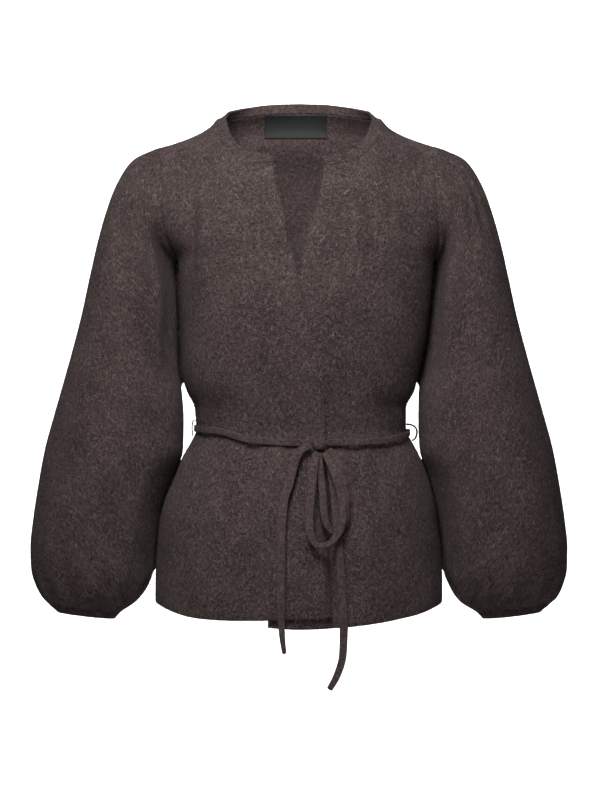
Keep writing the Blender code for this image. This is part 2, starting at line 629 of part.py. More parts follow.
# Points of one sleeve and its cuff. Columns run round from the shoulder tip over the front.
def sleeve_points(side, front, back, folds):
    armhole = np.concatenate([front[::-1], back[1:-1]])
    turns = np.arange(len(armhole)) * 360.0 / len(armhole)
    angle = np.radians(turns)
    rows = list(SLEEVE) + [CUFF_BOTTOM]
    last = len(SLEEVE) - 1
    arm = np.linspace(0, 12, RINGS_OF_ARM)
    puff = np.linspace(12, last, RINGS_OF_PUFF)[1:]
    cuff = np.array([last + 0.5, last + 1.0])
    at = np.concatenate([arm, puff, cuff])
    index = np.arange(len(rows), dtype=float)
    inner_name = "inner_right" if side < 0 else "inner_left"

    def along(name):
        return smooth_curve(index, column(rows, name), at)

    outer = np.stack([side * along("outer_x"), np.zeros(len(at)), along("outer_z")], axis=-1)
    inner = np.stack([side * along(inner_name), np.zeros(len(at)), along("inner_z")], axis=-1)
    depth = along("depth")
    shift = along("back_shift")
    chord = inner - outer
    length = np.linalg.norm(chord, axis=-1)
    # Down the arm, square to the chord and to Y
    down = unit(np.cross(chord, np.array([0.0, float(side), 0.0])))
    start = armhole - outer[0]
    start_share = start @ chord[0] / length[0] ** 2
    start_y = armhole[:, 1]
    start_down = start @ down[0]

    cosine = np.cos(angle)
    sine = np.sin(angle)
    oval_share = (1 - np.sign(cosine) * np.abs(cosine) ** SLEEVE_ROUNDNESS) / 2
    oval_y = -np.sign(sine) * np.abs(sine) ** SLEEVE_ROUNDNESS
    mix = ease(at / ARMHOLE_BLEND_RINGS)[:, None]
    share = start_share * (1 - mix) + oval_share * mix
    y = start_y * (1 - mix) + (oval_y * depth[:, None] + shift[:, None]) * mix
    fall = start_down * (1 - mix)
    points = outer[:, None] + chord[:, None] * share[..., None] + down[:, None] * fall[..., None]
    points[..., 1] += y

    out = np.zeros((len(at), len(angle)))
    for fold in folds:
        middle = (fold.first + fold.last) / 2
        centre = fold.turn + fold.twist * (at - middle)
        away = (turns[None] - centre[:, None] + 180) % 360 - 180
        swell = np.sin(math.pi * np.clip((at - fold.first) / (fold.last - fold.first), 0, 1)) ** 2
        out += fold.height * swell[:, None] * np.exp(-((away / fold.width) ** 2))
    gather = ease((at - GATHER_START_RING) / (last - 1 - GATHER_START_RING))
    gather *= 1 - (1 - GATHER_AT_CUFF) * ease(at - last + 1)
    gather *= 1 - ease(at - last)
    uneven = 1 + GATHER_UNEVEN * np.sin(2 * angle + side) + GATHER_UNEVEN * np.sin(5 * angle)
    out += GATHER_HEIGHT * gather[:, None] * np.cos(GATHERS * angle) * uneven
    centres = (outer + inner)[:, None] / 2
    outward = outward_normals(points, closed=True, axis_y=0.0, centres=centres)
    return points + outward * out[..., None], len(at) - len(cuff)


# Points of the neckband. Columns run from the right front corner round the back to the left one.
def band_points(seam):
    rows = []
    table = FRONT_NECK + BACK_NECK[1:]
    index = np.arange(len(table), dtype=float)
    front_at = np.linspace(0, len(FRONT_NECK) - 1, COLUMNS_OF_FRONT_NECK + 1)
    back_at = np.linspace(len(FRONT_NECK) - 1, len(table) - 1, COLUMNS_OF_HALF_BACK_NECK + 1)
    at = np.concatenate([front_at, back_at[1:]])
    half = np.stack([smooth_curve(index, column(table, name), at) for name in ("top_x", "top_y", "top_z")], -1)
    mirrored = half * np.array([-1.0, 1.0, 1.0])
    top = np.concatenate([mirrored, half[::-1][1:]])
    for step in np.linspace(0, 1, ROWS_OF_BAND + 1):
        rows.append(seam + (top - seam) * step)
    return np.stack(rows)


# One normal for each point where pieces meet, so that their walls are cut along one plane
def shared_offsets(pieces):
    meeting = {}
    for piece in pieces:
        for index in piece["border"]:
            key = tuple(np.round(piece["points"][index], 6))
            group = meeting.setdefault(key, {})
            group[piece["group"]] = group.get(piece["group"], 0) + piece["normals"][index]
    for piece in pieces:
        piece["offset"] = piece["normals"] * WALL
        for index in piece["border"]:
            group = meeting[tuple(np.round(piece["points"][index], 6))]
            own = [unit(normal) for normal in group.values()]
            shared = unit(sum(own))
            lean = min(float(shared @ normal) for normal in own)
            piece["offset"][index] = shared * WALL * min(MITRE_LIMIT, 1 / max(lean, 0.1))


def border_of(points, closed):
    rows, columns = points.shape[:2]
    spots = [(r, c) for r in (0, rows - 1) for c in range(columns)]
    if not closed:
        spots += [(r, c) for r in range(1, rows - 1) for c in (0, columns - 1)]
    return spots


# Draws the ends that meet another piece back by half the seam gap, square to the end's own plane
def draw_back(outer, inner, seams, closed):
    ends = {
        "first_row": ((0, slice(None)), (1, slice(None))),
        "last_row": ((-1, slice(None)), (-2, slice(None))),
        "first_column": ((slice(None), 0), (slice(None), 1)),
        "last_column": ((slice(None), -1), (slice(None), -2)),
    }
    move = np.zeros(outer.shape)
    for seam in seams:
        end, beside = ends[seam]
        edge = outer[end]
        if closed:
            along = np.roll(edge, -1, axis=0) - np.roll(edge, 1, axis=0)
        else:
            along = np.gradient(edge, axis=0)
        way = unit(np.cross(along, edge - inner[end]))
        toward = np.sum(way * (outer[beside] - edge), axis=-1, keepdims=True)
        move[end] += way * np.sign(toward) * SEAM_GAP / 2
    return outer + move, inner + move


def material(name, color, roughness):
    made = bpy.data.materials.new(name)
    made.use_nodes = True
    shader = made.node_tree.nodes["Principled BSDF"]
    shader.inputs["Base Color"].default_value = color
    shader.inputs["Roughness"].default_value = roughness
    shader.inputs["Metallic"].default_value = 0.0
    return made


def add_mesh(name, verts, faces, color, roughness):
    mesh = bpy.data.meshes.new(name)
    mesh.from_pydata([tuple(map(float, vert)) for vert in verts], [], faces)
    work = bmesh.new()
    work.from_mesh(mesh)
    if work.calc_volume(signed=True) < 0:
        bmesh.ops.reverse_faces(work, faces=work.faces)
    bmesh.ops.triangulate(work, faces=work.faces, quad_method="SHORT_EDGE")
    work.to_mesh(mesh)
    work.free()
    mesh.materials.append(material(name, color, roughness))
    mesh.shade_smooth()
    piece = bpy.data.objects.new(name, mesh)
    bpy.context.scene.collection.objects.link(piece)
    return piece


# Closed wall between an outer and an inner grid
def wall(name, outer, inner, closed, color=BROWN, roughness=WOOL_ROUGHNESS):
    rows, columns = outer.shape[:2]
    verts = np.concatenate([outer.reshape(-1, 3), inner.reshape(-1, 3)])
    skip = rows * columns
    spans = columns if closed else columns - 1

    def at(row, col):
        return row * columns + col % columns

    faces = []
    for row in range(rows - 1):
        for col in range(spans):
            quad = (at(row, col), at(row, col + 1), at(row + 1, col + 1), at(row + 1, col))
            faces.append(quad)
            faces.append(tuple(skip + corner for corner in reversed(quad)))
    for col in range(spans):
        low = (at(0, col + 1), at(0, col))
        high = (at(rows - 1, col), at(rows - 1, col + 1))
        for first, second in (low, high):
            faces.append((first, second, skip + second, skip + first))
    if not closed:
        for row in range(rows - 1):
            near = (at(row, 0), at(row + 1, 0))
            far = (at(row + 1, columns - 1), at(row, columns - 1))
            for first, second in (near, far):
                faces.append((first, second, skip + second, skip + first))
    return add_mesh(name, verts, faces, color, roughness)


# Flat strip along a path, its flat side turned to facing
STRIP_SECTION = ((-0.5, 0.0), (-0.36, -0.5), (0.36, -0.5), (0.5, 0.0), (0.36, 0.5), (-0.36, 0.5))


def strip(name, path, facing, widths, thickness):
    along = unit(np.gradient(path, axis=0))
    out = unit(facing - along * np.sum(facing * along, axis=-1, keepdims=True))
    across = np.cross(along, out)
    verts = []
    for spot, side_way, out_way, width in zip(path, across, out, widths):
        for over, up in STRIP_SECTION:
            verts.append(spot + side_way * over * width + out_way * up * thickness)
    corners = len(STRIP_SECTION)
    faces = []
    for row in range(len(path) - 1):
        for corner in range(corners):
            after = (corner + 1) % corners
            low = row * corners
            high = low + corners
            faces.append((low + corner, low + after, high + after, high + corner))
    faces.append(tuple(reversed(range(corners))))
    faces.append(tuple(range((len(path) - 1) * corners, len(path) * corners)))
    return add_mesh(name, verts, faces, BROWN, WOOL_ROUGHNESS)


# Surface of some pieces, to lay others on
def surface_of(pieces):
    verts = []
    faces = []
    for piece in pieces:
        skip = len(verts)
        verts += [vert.co.copy() for vert in piece.data.vertices]
        faces += [tuple(skip + i for i in face.vertices) for face in piece.data.polygons]
    return BVHTree.FromPolygons(verts, faces)


# Furthest forward cloth in front of a strip's width
def front_of(cloth, x, z, width):
    level = max(z, HANG_FROM_Z)
    found = []
    for side in (-0.5, 0.0, 0.5):
        for rise in (-0.5, 0.0, 0.5):
            start = Vector((x + side * width, -1.0, level + rise * width))
            hit = cloth.ray_cast(start, Vector((0.0, 1.0, 0.0)))[0]
            found.append(hit.y)
    return min(found)


def soften(values):
    ends = np.concatenate([values[:1], values, values[-1:]])
    furthest = np.maximum(np.maximum(ends[:-2], ends[1:-1]), ends[2:])
    ends = np.concatenate([furthest[:1], furthest, furthest[-1:]])
    return (ends[:-2] + 2 * ends[1:-1] + ends[2:]) / 4


def tie(name, table, cloth):
    index = np.arange(len(table), dtype=float)
    at = np.linspace(0, len(table) - 1, TIE_SEGMENTS + 1)
    x, z, off, width = (smooth_curve(index, column(table, part), at) for part in TiePoint._fields)
    ahead = np.array([-front_of(cloth, *spot) for spot in zip(x, z, width)])
    y = -(soften(ahead) + off)
    level = np.maximum(z, HANG_FROM_Z)
    lean = np.array([(front_of(cloth, a, b + TIE_LEAN_STEP, TIE_LEAN_STEP)
                      - front_of(cloth, a, b - TIE_LEAN_STEP, TIE_LEAN_STEP)) for a, b in zip(x, level)])
    lean = np.where(z < HANG_FROM_Z, 0.0, soften(lean) / (2 * TIE_LEAN_STEP))
    facing = unit(np.stack([np.zeros(len(at)), -np.ones(len(at)), lean], axis=-1))
    width[0] *= TIE_END_SCALE
    width[-1] *= TIE_END_SCALE
    return strip(name, np.stack([x, y, z], axis=-1), facing, width, TIE_THICKNESS)


# Distance of the cloth from the body's axis, at a turn in degrees from the middle of the front,
# read on both sides of the turn so that it never falls in a seam
def reach(cloth, turn, z):
    found = []
    for beside in (-SEAM_MISS, SEAM_MISS):
        angle = math.radians(turn + beside)
        way = Vector((math.sin(angle), -math.cos(angle), 0.0))
        hit = cloth.ray_cast(Vector((0.0, 0.0, z)) + way, -way)[0]
        found.append(Vector((hit.x, hit.y)).length)
    return max(found)


# Belt round the waist, from one side of the knot round the back to its other side
def belt(cloth):
    turns = np.linspace(BELT_START_TURN, BELT_END_TURN, BELT_SEGMENTS + 1)
    step = turns[1] - turns[0]
    signed = np.where(turns > 270, turns - 360, turns)
    heights = read(BELT, "turn", "z", signed)
    radii = []
    for turn, z in zip(turns, heights):
        around = [reach(cloth, turn + ahead * step, z + rise * BELT_WIDTH)
                  for ahead in (-0.5, 0.0, 0.5) for rise in (-0.5, 0.0, 0.5)]
        radii.append(max(around))
    radii = soften(np.array(radii)) + BELT_CLEARANCE + BELT_THICKNESS / 2
    angle = np.radians(turns)
    path = np.stack([radii * np.sin(angle), -radii * np.cos(angle), heights], axis=-1)
    along = unit(np.gradient(path, axis=0))
    facing = np.cross(along, np.array([0.0, 0.0, 1.0]))
    widths = np.full(len(path), BELT_WIDTH)
    widths[0] *= TIE_END_SCALE
    widths[-1] *= TIE_END_SCALE
    return strip("belt_waist", path, facing, widths, BELT_THICKNESS)


def knot(cloth):
    middle = np.array([KNOT_X, 0.0, KNOT_Z])
    middle[1] = front_of(cloth, KNOT_X, KNOT_Z, 2 * KNOT_HALF[0]) + KNOT_SINK - KNOT_HALF[1]
    verts = []
    faces = []

    def bulge(value):
        return math.copysign(abs(value) ** KNOT_SQUARENESS, value)

    for ring in range(1, KNOT_RINGS):
        tilt = math.pi * ring / KNOT_RINGS
        for step in range(KNOT_TURNS):
            turn = 2 * math.pi * step / KNOT_TURNS
            shape = np.array([
                bulge(math.sin(tilt)) * bulge(math.cos(turn)),
                bulge(math.sin(tilt)) * bulge(math.sin(turn)),
                bulge(math.cos(tilt)),
            ])
            verts.append(middle + shape * np.array(KNOT_HALF))
    for ring in range(KNOT_RINGS - 2):
        for step in range(KNOT_TURNS):
            after = (step + 1) % KNOT_TURNS
            low = ring * KNOT_TURNS
            high = low + KNOT_TURNS
            faces.append((low + step, low + after, high + after, high + step))
    faces.append(tuple(reversed(range(KNOT_TURNS))))
    faces.append(tuple(range((KNOT_RINGS - 2) * KNOT_TURNS, (KNOT_RINGS - 1) * KNOT_TURNS)))
    return add_mesh("knot", verts, faces, BROWN, WOOL_ROUGHNESS)


# Loop of knitted cord that stands out from a side seam round the belt
def belt_loop(name, side, cloth, belt_piece):
    z = float(read(BELT, "turn", "z", side * 90.0))
    turn = side * 90.0
    over_belt = max(reach(belt_piece, turn, z + rise) for rise in (-BELT_WIDTH / 4, 0.0, BELT_WIDTH / 4))
    seats = []
    for end in (-LOOP_HALF_HEIGHT, LOOP_HALF_HEIGHT):
        seats.append(max(reach(cloth, turn, z + end + rise) for rise in (-LOOP_THICKNESS / 2, LOOP_THICKNESS / 2)))
    peak = max(over_belt + BELT_CLEARANCE + LOOP_THICKNESS / 2, max(seats) + LOOP_LEAST_STAND)
    path = []
    facing = []
    for step in range(LOOP_SEGMENTS + 1):
        angle = math.pi * step / LOOP_SEGMENTS
        share = (1 + math.cos(angle)) / 2
        seat = seats[0] * (1 - share) + seats[1] * share + SEAM_GAP
        stand = seat + (peak - seat) * math.sin(angle) ** LOOP_SQUARENESS
        path.append([side * stand, 0.0, z + LOOP_HALF_HEIGHT * math.cos(angle)])
        facing.append([side * (0.2 + math.sin(angle)), 0.0, math.cos(angle)])
    widths = np.full(len(path), LOOP_WIDTH)
    return strip(name, np.array(path), np.array(facing), widths, LOOP_THICKNESS)


def label():
    x = LABEL_MIDDLE_X + np.linspace(-LABEL_HALF_WIDTH, LABEL_HALF_WIDTH, LABEL_COLUMNS + 1)
    z = np.linspace(LABEL_BOTTOM, LABEL_TOP, LABEL_ROWS + 1)
    grid_x, grid_z = np.meshgrid(x, z)
    points = body_point(place_of(grid_x, grid_z), grid_z, behind=True)
    inward = -outward_normals(points, closed=False, axis_y=0.0)
    rear = points + inward * (WALL + LABEL_CLEARANCE)
    face = rear + inward * LABEL_THICKNESS
    return wall("label", rear, face, False, LABEL_BLACK, LABEL_ROUGHNESS)


def build():
    over = front_points(-1, OVER_EDGE, OVER_HEM, over=True)
    under = front_points(1, UNDER_EDGE, UNDER_HEM, over=False)
    back = back_points()
    # The seams are one line on both sides
    side_rows = slice(0, ROWS_BELOW_ARM + 1)
    back[side_rows, 0] = over[side_rows, 0]
    back[side_rows, -1] = under[side_rows, 0]
    back[-1, : COLUMNS_OF_SHOULDER + 1] = over[-1, : COLUMNS_OF_SHOULDER + 1]
    back[-1, -COLUMNS_OF_SHOULDER - 1:] = under[-1, : COLUMNS_OF_SHOULDER + 1][::-1]

    neck_seam = np.concatenate([
        over[-1, COLUMNS_OF_SHOULDER:][::-1],
        back[-1, COLUMNS_OF_SHOULDER + 1: -COLUMNS_OF_SHOULDER - 1],
        under[-1, COLUMNS_OF_SHOULDER:],
    ])
    band = band_points(neck_seam)

    arm_rows = slice(ROWS_BELOW_ARM, None)
    right_sleeve, right_cuff_ring = sleeve_points(-1, over[arm_rows, 0], back[arm_rows, 0], RIGHT_SLEEVE_FOLDS)
    left_sleeve, left_cuff_ring = sleeve_points(1, under[arm_rows, 0], back[arm_rows, -1], LEFT_SLEEVE_FOLDS)

    pieces = []
    for group, points, closed in (
        ("body", over, False),
        ("body", under, False),
        ("body", back, False),
        ("band", band, False),
        ("sleeve", right_sleeve, True),
        ("sleeve", left_sleeve, True),
    ):
        centres = None
        if closed:
            centres = points.mean(axis=1, keepdims=True)
        pieces.append({
            "group": group,
            "points": points,
            "closed": closed,
            "normals": outward_normals(points, closed, 0.0, centres),
            "border": border_of(points, closed),
        })
    shared_offsets(pieces)
    outer_over, outer_under, outer_back, outer_band, outer_right, outer_left = (p["points"] for p in pieces)
    in_over, in_under, in_back, in_band, in_right, in_left = (p["points"] - p["offset"] for p in pieces)

    front_seams = ("last_row", "first_column")
    right = wall("front_right", *draw_back(outer_over, in_over, front_seams, False), False)
    left = wall("front_left", *draw_back(outer_under, in_under, front_seams, False), False)
    back_seams = ("last_row", "first_column", "last_column")
    rear = wall("back", *draw_back(outer_back, in_back, back_seams, False), False)
    wall("neckband", *draw_back(outer_band, in_band, ("first_row",), False), False)
    for name, outer, inner, ring in (
        ("right", outer_right, in_right, right_cuff_ring),
        ("left", outer_left, in_left, left_cuff_ring),
    ):
        both = ("first_row", "last_row")
        wall("sleeve_" + name, *draw_back(outer[:ring], inner[:ring], both, True), True)
        top = ("first_row",)
        wall("cuff_" + name, *draw_back(outer[ring - 1:], inner[ring - 1:], top, True), True)

    cloth = surface_of((right, left, rear))
    belt_piece = surface_of((belt(cloth),))
    knot(cloth)
    tie("tail_left", LEFT_TAIL, cloth)
    tie("tail_right", RIGHT_TAIL, cloth)
    tie("bow_loop_back", BACK_LOOP, cloth)
    tie("bow_loop_front", FRONT_LOOP, cloth)
    belt_loop("belt_loop_right", -1, cloth, belt_piece)
    belt_loop("belt_loop_left", 1, cloth, belt_piece)
    label()


clear_scene()
build()
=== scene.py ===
import math

import bmesh
import bpy
import numpy as np
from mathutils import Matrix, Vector
from mathutils.bvhtree import BVHTree


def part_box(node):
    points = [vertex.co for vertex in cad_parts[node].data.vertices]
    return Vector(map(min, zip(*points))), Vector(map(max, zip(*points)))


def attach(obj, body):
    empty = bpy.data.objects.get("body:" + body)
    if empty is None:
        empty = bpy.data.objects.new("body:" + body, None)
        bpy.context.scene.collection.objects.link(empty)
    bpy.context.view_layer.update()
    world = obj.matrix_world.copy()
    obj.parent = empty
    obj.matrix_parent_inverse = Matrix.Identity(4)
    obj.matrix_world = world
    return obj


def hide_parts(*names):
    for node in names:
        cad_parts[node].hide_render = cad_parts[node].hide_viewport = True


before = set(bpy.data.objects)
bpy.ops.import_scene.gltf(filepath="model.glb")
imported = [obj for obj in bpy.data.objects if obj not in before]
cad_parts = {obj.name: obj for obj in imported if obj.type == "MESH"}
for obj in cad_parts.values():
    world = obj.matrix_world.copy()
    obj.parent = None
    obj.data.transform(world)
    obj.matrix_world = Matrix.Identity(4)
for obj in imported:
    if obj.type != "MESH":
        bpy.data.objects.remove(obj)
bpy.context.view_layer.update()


def makeTable(columns, *rows):
    return {name: np.array([row[i] for row in rows], dtype=float) for i, name in enumerate(columns.split())}


def smoothCurve(knots, values, where):
    # cubic through the knots that never overshoots, level beyond the ends
    step = np.diff(knots)
    slope = np.diff(values) / step
    tangent = np.zeros(len(values))
    tangent[0] = slope[0]
    tangent[-1] = slope[-1]
    for i in range(1, len(values) - 1):
        if slope[i - 1] * slope[i] > 0:
            tangent[i] = 2 * slope[i - 1] * slope[i] / (slope[i - 1] + slope[i])
    place = np.clip(where, knots[0], knots[-1])
    i = np.clip(np.searchsorted(knots, place) - 1, 0, len(step) - 1)
    t = (place - knots[i]) / step[i]
    return (values[i] * (1 + 2 * t) * (1 - t) ** 2 + values[i + 1] * t * t * (3 - 2 * t)
            + tangent[i] * step[i] * t * (1 - t) ** 2 - tangent[i + 1] * step[i] * t * t * (1 - t))


def readTable(table, key, name, where):
    return smoothCurve(table[key], table[name], np.asarray(where, dtype=float))


def readByRow(table, name, at):
    values = table[name]
    return smoothCurve(np.arange(len(values), dtype=float), values, at)


def ease(value):
    t = np.clip(value, 0.0, 1.0)
    return t * t * (3 - 2 * t)


def unit(vectors):
    return vectors / np.maximum(np.linalg.norm(vectors, axis=-1, keepdims=True), 1e-12)


cloth = {
    "wall": 0.003,          # thickness of the knit
    "seamGap": 0.0003,
    "lapLift": 0.0056,      # the over front stands this far off the under front
    "lapBlend": 0.030,
    "mitreLimit": 1.5,
    "rowDetail": 4,         # grid rows for each row of the solid
    "columnDetail": 8,
    "ringDetail": 5,
    "edgeRound": 0.0011,
}

bodyForm = makeTable(
    "z right left front back",
    (-0.660, 0.1894, 0.1888, 0.1400, 0.1400),
    (-0.594, 0.1892, 0.1888, 0.1370, 0.1370),
    (-0.554, 0.1874, 0.1865, 0.1330, 0.1340),
    (-0.514, 0.1835, 0.1815, 0.1280, 0.1300),
    (-0.488, 0.1769, 0.1780, 0.1230, 0.1250),
    (-0.460, 0.1650, 0.1705, 0.1160, 0.1170),
    (-0.430, 0.1531, 0.1591, 0.1060, 0.1050),
    (-0.409, 0.1412, 0.1478, 0.0990, 0.0940),
    (-0.396, 0.1358, 0.1412, 0.0970, 0.0900),
    (-0.366, 0.1375, 0.1412, 0.1000, 0.0900),
    (-0.345, 0.1478, 0.1518, 0.1040, 0.0920),
    (-0.320, 0.1544, 0.1575, 0.1080, 0.0940),
    (-0.272, 0.1558, 0.1676, 0.1130, 0.0970),
    (-0.227, 0.1571, 0.1729, 0.1150, 0.1000),
    (-0.172, 0.1597, 0.1782, 0.1110, 0.1020),
    (-0.150, 0.1760, 0.1880, 0.1080, 0.1020),
    (-0.125, 0.1930, 0.1980, 0.1030, 0.1010),
    (-0.100, 0.2030, 0.2050, 0.0980, 0.0990),
    (-0.053, 0.2110, 0.2110, 0.0830, 0.0870),
    (-0.007, 0.2150, 0.2150, 0.0770, 0.0700),
    (0.030, 0.2150, 0.2150, 0.0750, 0.0705),
)
shoulderRidge = makeTable(
    "x z",
    (0.0, 0.048), (0.03, 0.046), (0.06, 0.04), (0.085, 0.031), (0.1, 0.0215), (0.1075, 0.015),
    (0.1188, 0.003), (0.1373, -0.0075), (0.165, -0.018), (0.1888, -0.0255), (0.23, -0.038),
)
bodyShape = {
    "roundness": 0.87, "frontRoll": 0.160, "backRoll": 0.045, "tipX": 0.1888, "neckPointX": 0.1075,
    "underarmZ": -0.172, "hemZ": -0.620, "edgeTurnZ": -0.190, "sideFade": 2.5, "topFade": 3,
    "armRows": 18, "shoulderColumns": 5, "frontNeckColumns": 7, "halfBackNeckColumns": 6,
}
armholeLine = makeTable("turn place", (0, 59.4), (45, 56.0), (90, 54.5), (130, 60.0), (160, 74.0), (180, 90.0))
rowHeights = np.array([-0.620, -0.590, -0.555, -0.520, -0.488, -0.460, -0.437, -0.418,
                       -0.403, -0.389, -0.372, -0.350, -0.320, -0.284, -0.246, -0.208])

# seam of the neckband on the body, then its free upper edge, from the front corner to the back
frontNeck = makeTable(
    "seamX seamZ topX topY topZ",
    (0.0325, -0.0530, 0.0315, -0.0745, -0.0410),
    (0.0500, -0.0505, 0.0466, -0.0700, -0.0378),
    (0.0700, -0.0455, 0.0629, -0.0625, -0.0331),
    (0.0875, -0.0345, 0.0781, -0.0500, -0.0237),
    (0.0985, -0.0195, 0.0868, -0.0355, -0.0123),
    (0.1060, 0.0010, 0.0935, -0.0170, 0.0050),
    (0.1075, 0.0150, 0.0962, 0.0000, 0.0185),
)
backNeck = makeTable(
    "seamX seamZ topX topY topZ",
    (0.1075, 0.0150, 0.0962, 0.0000, 0.0185),
    (0.1045, 0.0160, 0.0943, 0.0150, 0.0258),
    (0.0920, 0.0195, 0.0845, 0.0310, 0.0305),
    (0.0690, 0.0235, 0.0650, 0.0462, 0.0355),
    (0.0360, 0.0275, 0.0345, 0.0555, 0.0397),
    (0.0, 0.0285, 0.0, 0.0583, 0.0410),
)

overEdge = makeTable(
    "z x", (-0.6324, 0.0431), (-0.52, 0.0375), (-0.4034, 0.0333), (-0.3778, 0.033), (-0.32, 0.025),
    (-0.26, 0.0125), (-0.2013, 0.0), (-0.1501, -0.0145), (-0.1114, -0.0207),
    (-0.0728, -0.0315), (-0.053, -0.0325),
)
underEdge = makeTable(
    "z x", (-0.644, -0.0399), (-0.5, -0.033), (-0.3778, -0.0225), (-0.28, -0.012), (-0.2013, 0.0),
    (-0.1437, 0.0128), (-0.1076, 0.0228), (-0.0728, 0.0303), (-0.053, 0.0325),
)
overHem = makeTable("place z", (-90, -0.6200), (-73, -0.6234), (-41, -0.6354), (-22, -0.6372), (0, -0.6345),
                    (12, -0.6324))
underHem = makeTable("place z", (-12, -0.6445), (0, -0.6475), (14, -0.6455), (26, -0.6416), (48, -0.6340),
                     (70, -0.6246), (90, -0.62))
backHem = makeTable("place z", (-90, -0.6200), (-45, -0.6310), (0, -0.6350), (45, -0.6310), (90, -0.6200))

# folds: middle, top, bottom, lean, half width, height (minus is a trough)
frontFolds = makeTable(
    "x top bottom lean width height",
    (-0.136, -0.06, -0.2, -0.05, 0.011, -0.003), (-0.112, -0.08, -0.26, 0.1, 0.014, 0.002),
    (-0.104, -0.3, -0.48, 0.2, 0.009, -0.0022), (-0.086, -0.33, -0.52, 0.1, 0.009, 0.0022),
    (-0.058, -0.34, -0.5, 0.05, 0.008, -0.0018), (-0.024, -0.35, -0.47, -0.05, 0.007, 0.0015),
    (-0.116, -0.43, -0.82, 0.05, 0.022, 0.0035), (-0.062, -0.44, -0.82, 0.04, 0.02, -0.003),
    (-0.01, -0.44, -0.82, 0.0, 0.018, 0.0025), (0.093, -0.06, -0.19, -0.1, 0.009, -0.0036),
    (0.074, -0.07, -0.22, -0.12, 0.011, 0.0026), (0.14, -0.08, -0.23, 0.06, 0.011, -0.0026),
    (0.062, -0.32, -0.46, -0.16, 0.008, -0.0022), (0.084, -0.33, -0.5, -0.08, 0.009, 0.0022),
    (0.112, -0.32, -0.48, -0.16, 0.009, -0.002), (0.056, -0.43, -0.82, -0.05, 0.015, -0.0036),
    (0.092, -0.44, -0.82, -0.06, 0.02, 0.0034), (0.135, -0.43, -0.82, -0.06, 0.016, -0.0026),
)
backFolds = makeTable(
    "x top bottom lean width height",
    (-0.128, -0.07, -0.23, -0.06, 0.013, -0.003), (0.124, -0.08, -0.25, 0.07, 0.014, -0.0028),
    (-0.085, -0.31, -0.48, 0.14, 0.01, -0.0024), (-0.052, -0.33, -0.52, 0.06, 0.011, 0.0026),
    (-0.014, -0.32, -0.47, 0.03, 0.01, -0.0026), (0.026, -0.33, -0.5, -0.04, 0.01, 0.0022),
    (0.068, -0.31, -0.47, -0.1, 0.01, -0.0026), (0.104, -0.33, -0.52, -0.12, 0.011, 0.0022),
    (-0.11, -0.43, -0.82, 0.06, 0.02, 0.0036), (-0.052, -0.44, -0.82, 0.03, 0.02, -0.0034),
    (0.008, -0.43, -0.82, 0.0, 0.02, 0.0036), (0.066, -0.44, -0.82, -0.03, 0.02, -0.0032),
    (0.120, -0.430, -0.820, -0.05, 0.020, 0.0030),
)
# small creases on top of the folds
frontCreases = makeTable(
    "x top bottom lean width height",
    (-0.139, -0.048, -0.205, 0.02, 0.0075, -0.0036), (-0.126, -0.07, -0.26, 0.0, 0.008, 0.0014),
    (-0.15, -0.09, -0.19, 0.1, 0.006, -0.0008), (-0.128, -0.11, -0.23, -0.12, 0.007, 0.001),
    (-0.118, -0.35, -0.43, 0.3, 0.006, -0.0022), (-0.07, -0.365, -0.44, 0.12, 0.006, 0.0018),
    (-0.04, -0.36, -0.43, 0.02, 0.006, -0.002), (0.01, -0.355, -0.425, -0.06, 0.005, 0.0012),
    (0.048, -0.35, -0.425, -0.15, 0.006, -0.002), (0.1, -0.35, -0.43, -0.3, 0.006, 0.0018),
    (0.126, -0.35, -0.44, -0.32, 0.006, -0.002), (-0.128, -0.42, -0.52, 0.16, 0.008, -0.0022),
    (-0.09, -0.425, -0.54, 0.08, 0.008, -0.002), (0.074, -0.425, -0.54, -0.1, 0.01, -0.0034),
    (0.112, -0.425, -0.52, -0.16, 0.008, 0.002), (0.118, -0.07, -0.17, -0.14, 0.007, -0.0012),
    (-0.075, -0.25, -0.33, 0.55, 0.008, -0.001), (0.085, -0.23, -0.32, -0.6, 0.008, -0.001),
    (0.03, -0.56, -0.7, 0.02, 0.01, -0.001), (-0.04, -0.56, -0.7, -0.02, 0.012, 0.001),
    (0.0395, -0.395, -0.74, -0.046, 0.0055, -0.0075), (0.035, -0.4, -0.57, -0.03, 0.0075, -0.006),
    (-0.0075, -0.4, -0.545, 0.25, 0.004, -0.0046), (-0.0142, -0.45, -0.7, 0.0, 0.0038, -0.004),
    (-0.142, -0.37, -0.47, -0.1, 0.007, -0.002), (0.108, -0.418, -0.5, -0.2, 0.01, -0.003),
    (-0.1, -0.418, -0.5, 0.25, 0.009, -0.0026), (-0.03, -0.418, -0.52, 0.06, 0.01, 0.0016),
)
creaseDepth = 1.5
backCreases = makeTable(
    "x top bottom lean width height",
    (-0.145, -0.1, -0.2, 0.12, 0.007, -0.0013), (0.142, -0.09, -0.205, -0.12, 0.007, -0.0013),
    (-0.105, -0.35, -0.43, 0.3, 0.006, -0.0011), (-0.07, -0.36, -0.44, 0.12, 0.005, 0.0011),
    (-0.034, -0.355, -0.43, 0.04, 0.005, -0.001), (0.006, -0.36, -0.44, 0.0, 0.005, 0.001),
    (0.044, -0.355, -0.43, -0.06, 0.005, -0.001), (0.086, -0.355, -0.44, -0.18, 0.006, 0.0011),
    (0.122, -0.35, -0.43, -0.3, 0.006, -0.0011), (-0.08, -0.425, -0.54, 0.1, 0.007, -0.0012),
    (-0.02, -0.42, -0.52, 0.02, 0.007, 0.0011), (0.04, -0.425, -0.54, -0.04, 0.007, -0.0012),
    (0.094, -0.420, -0.520, -0.12, 0.007, 0.0012),
)
foldFade = {"side": 0.14, "top": 0.10}
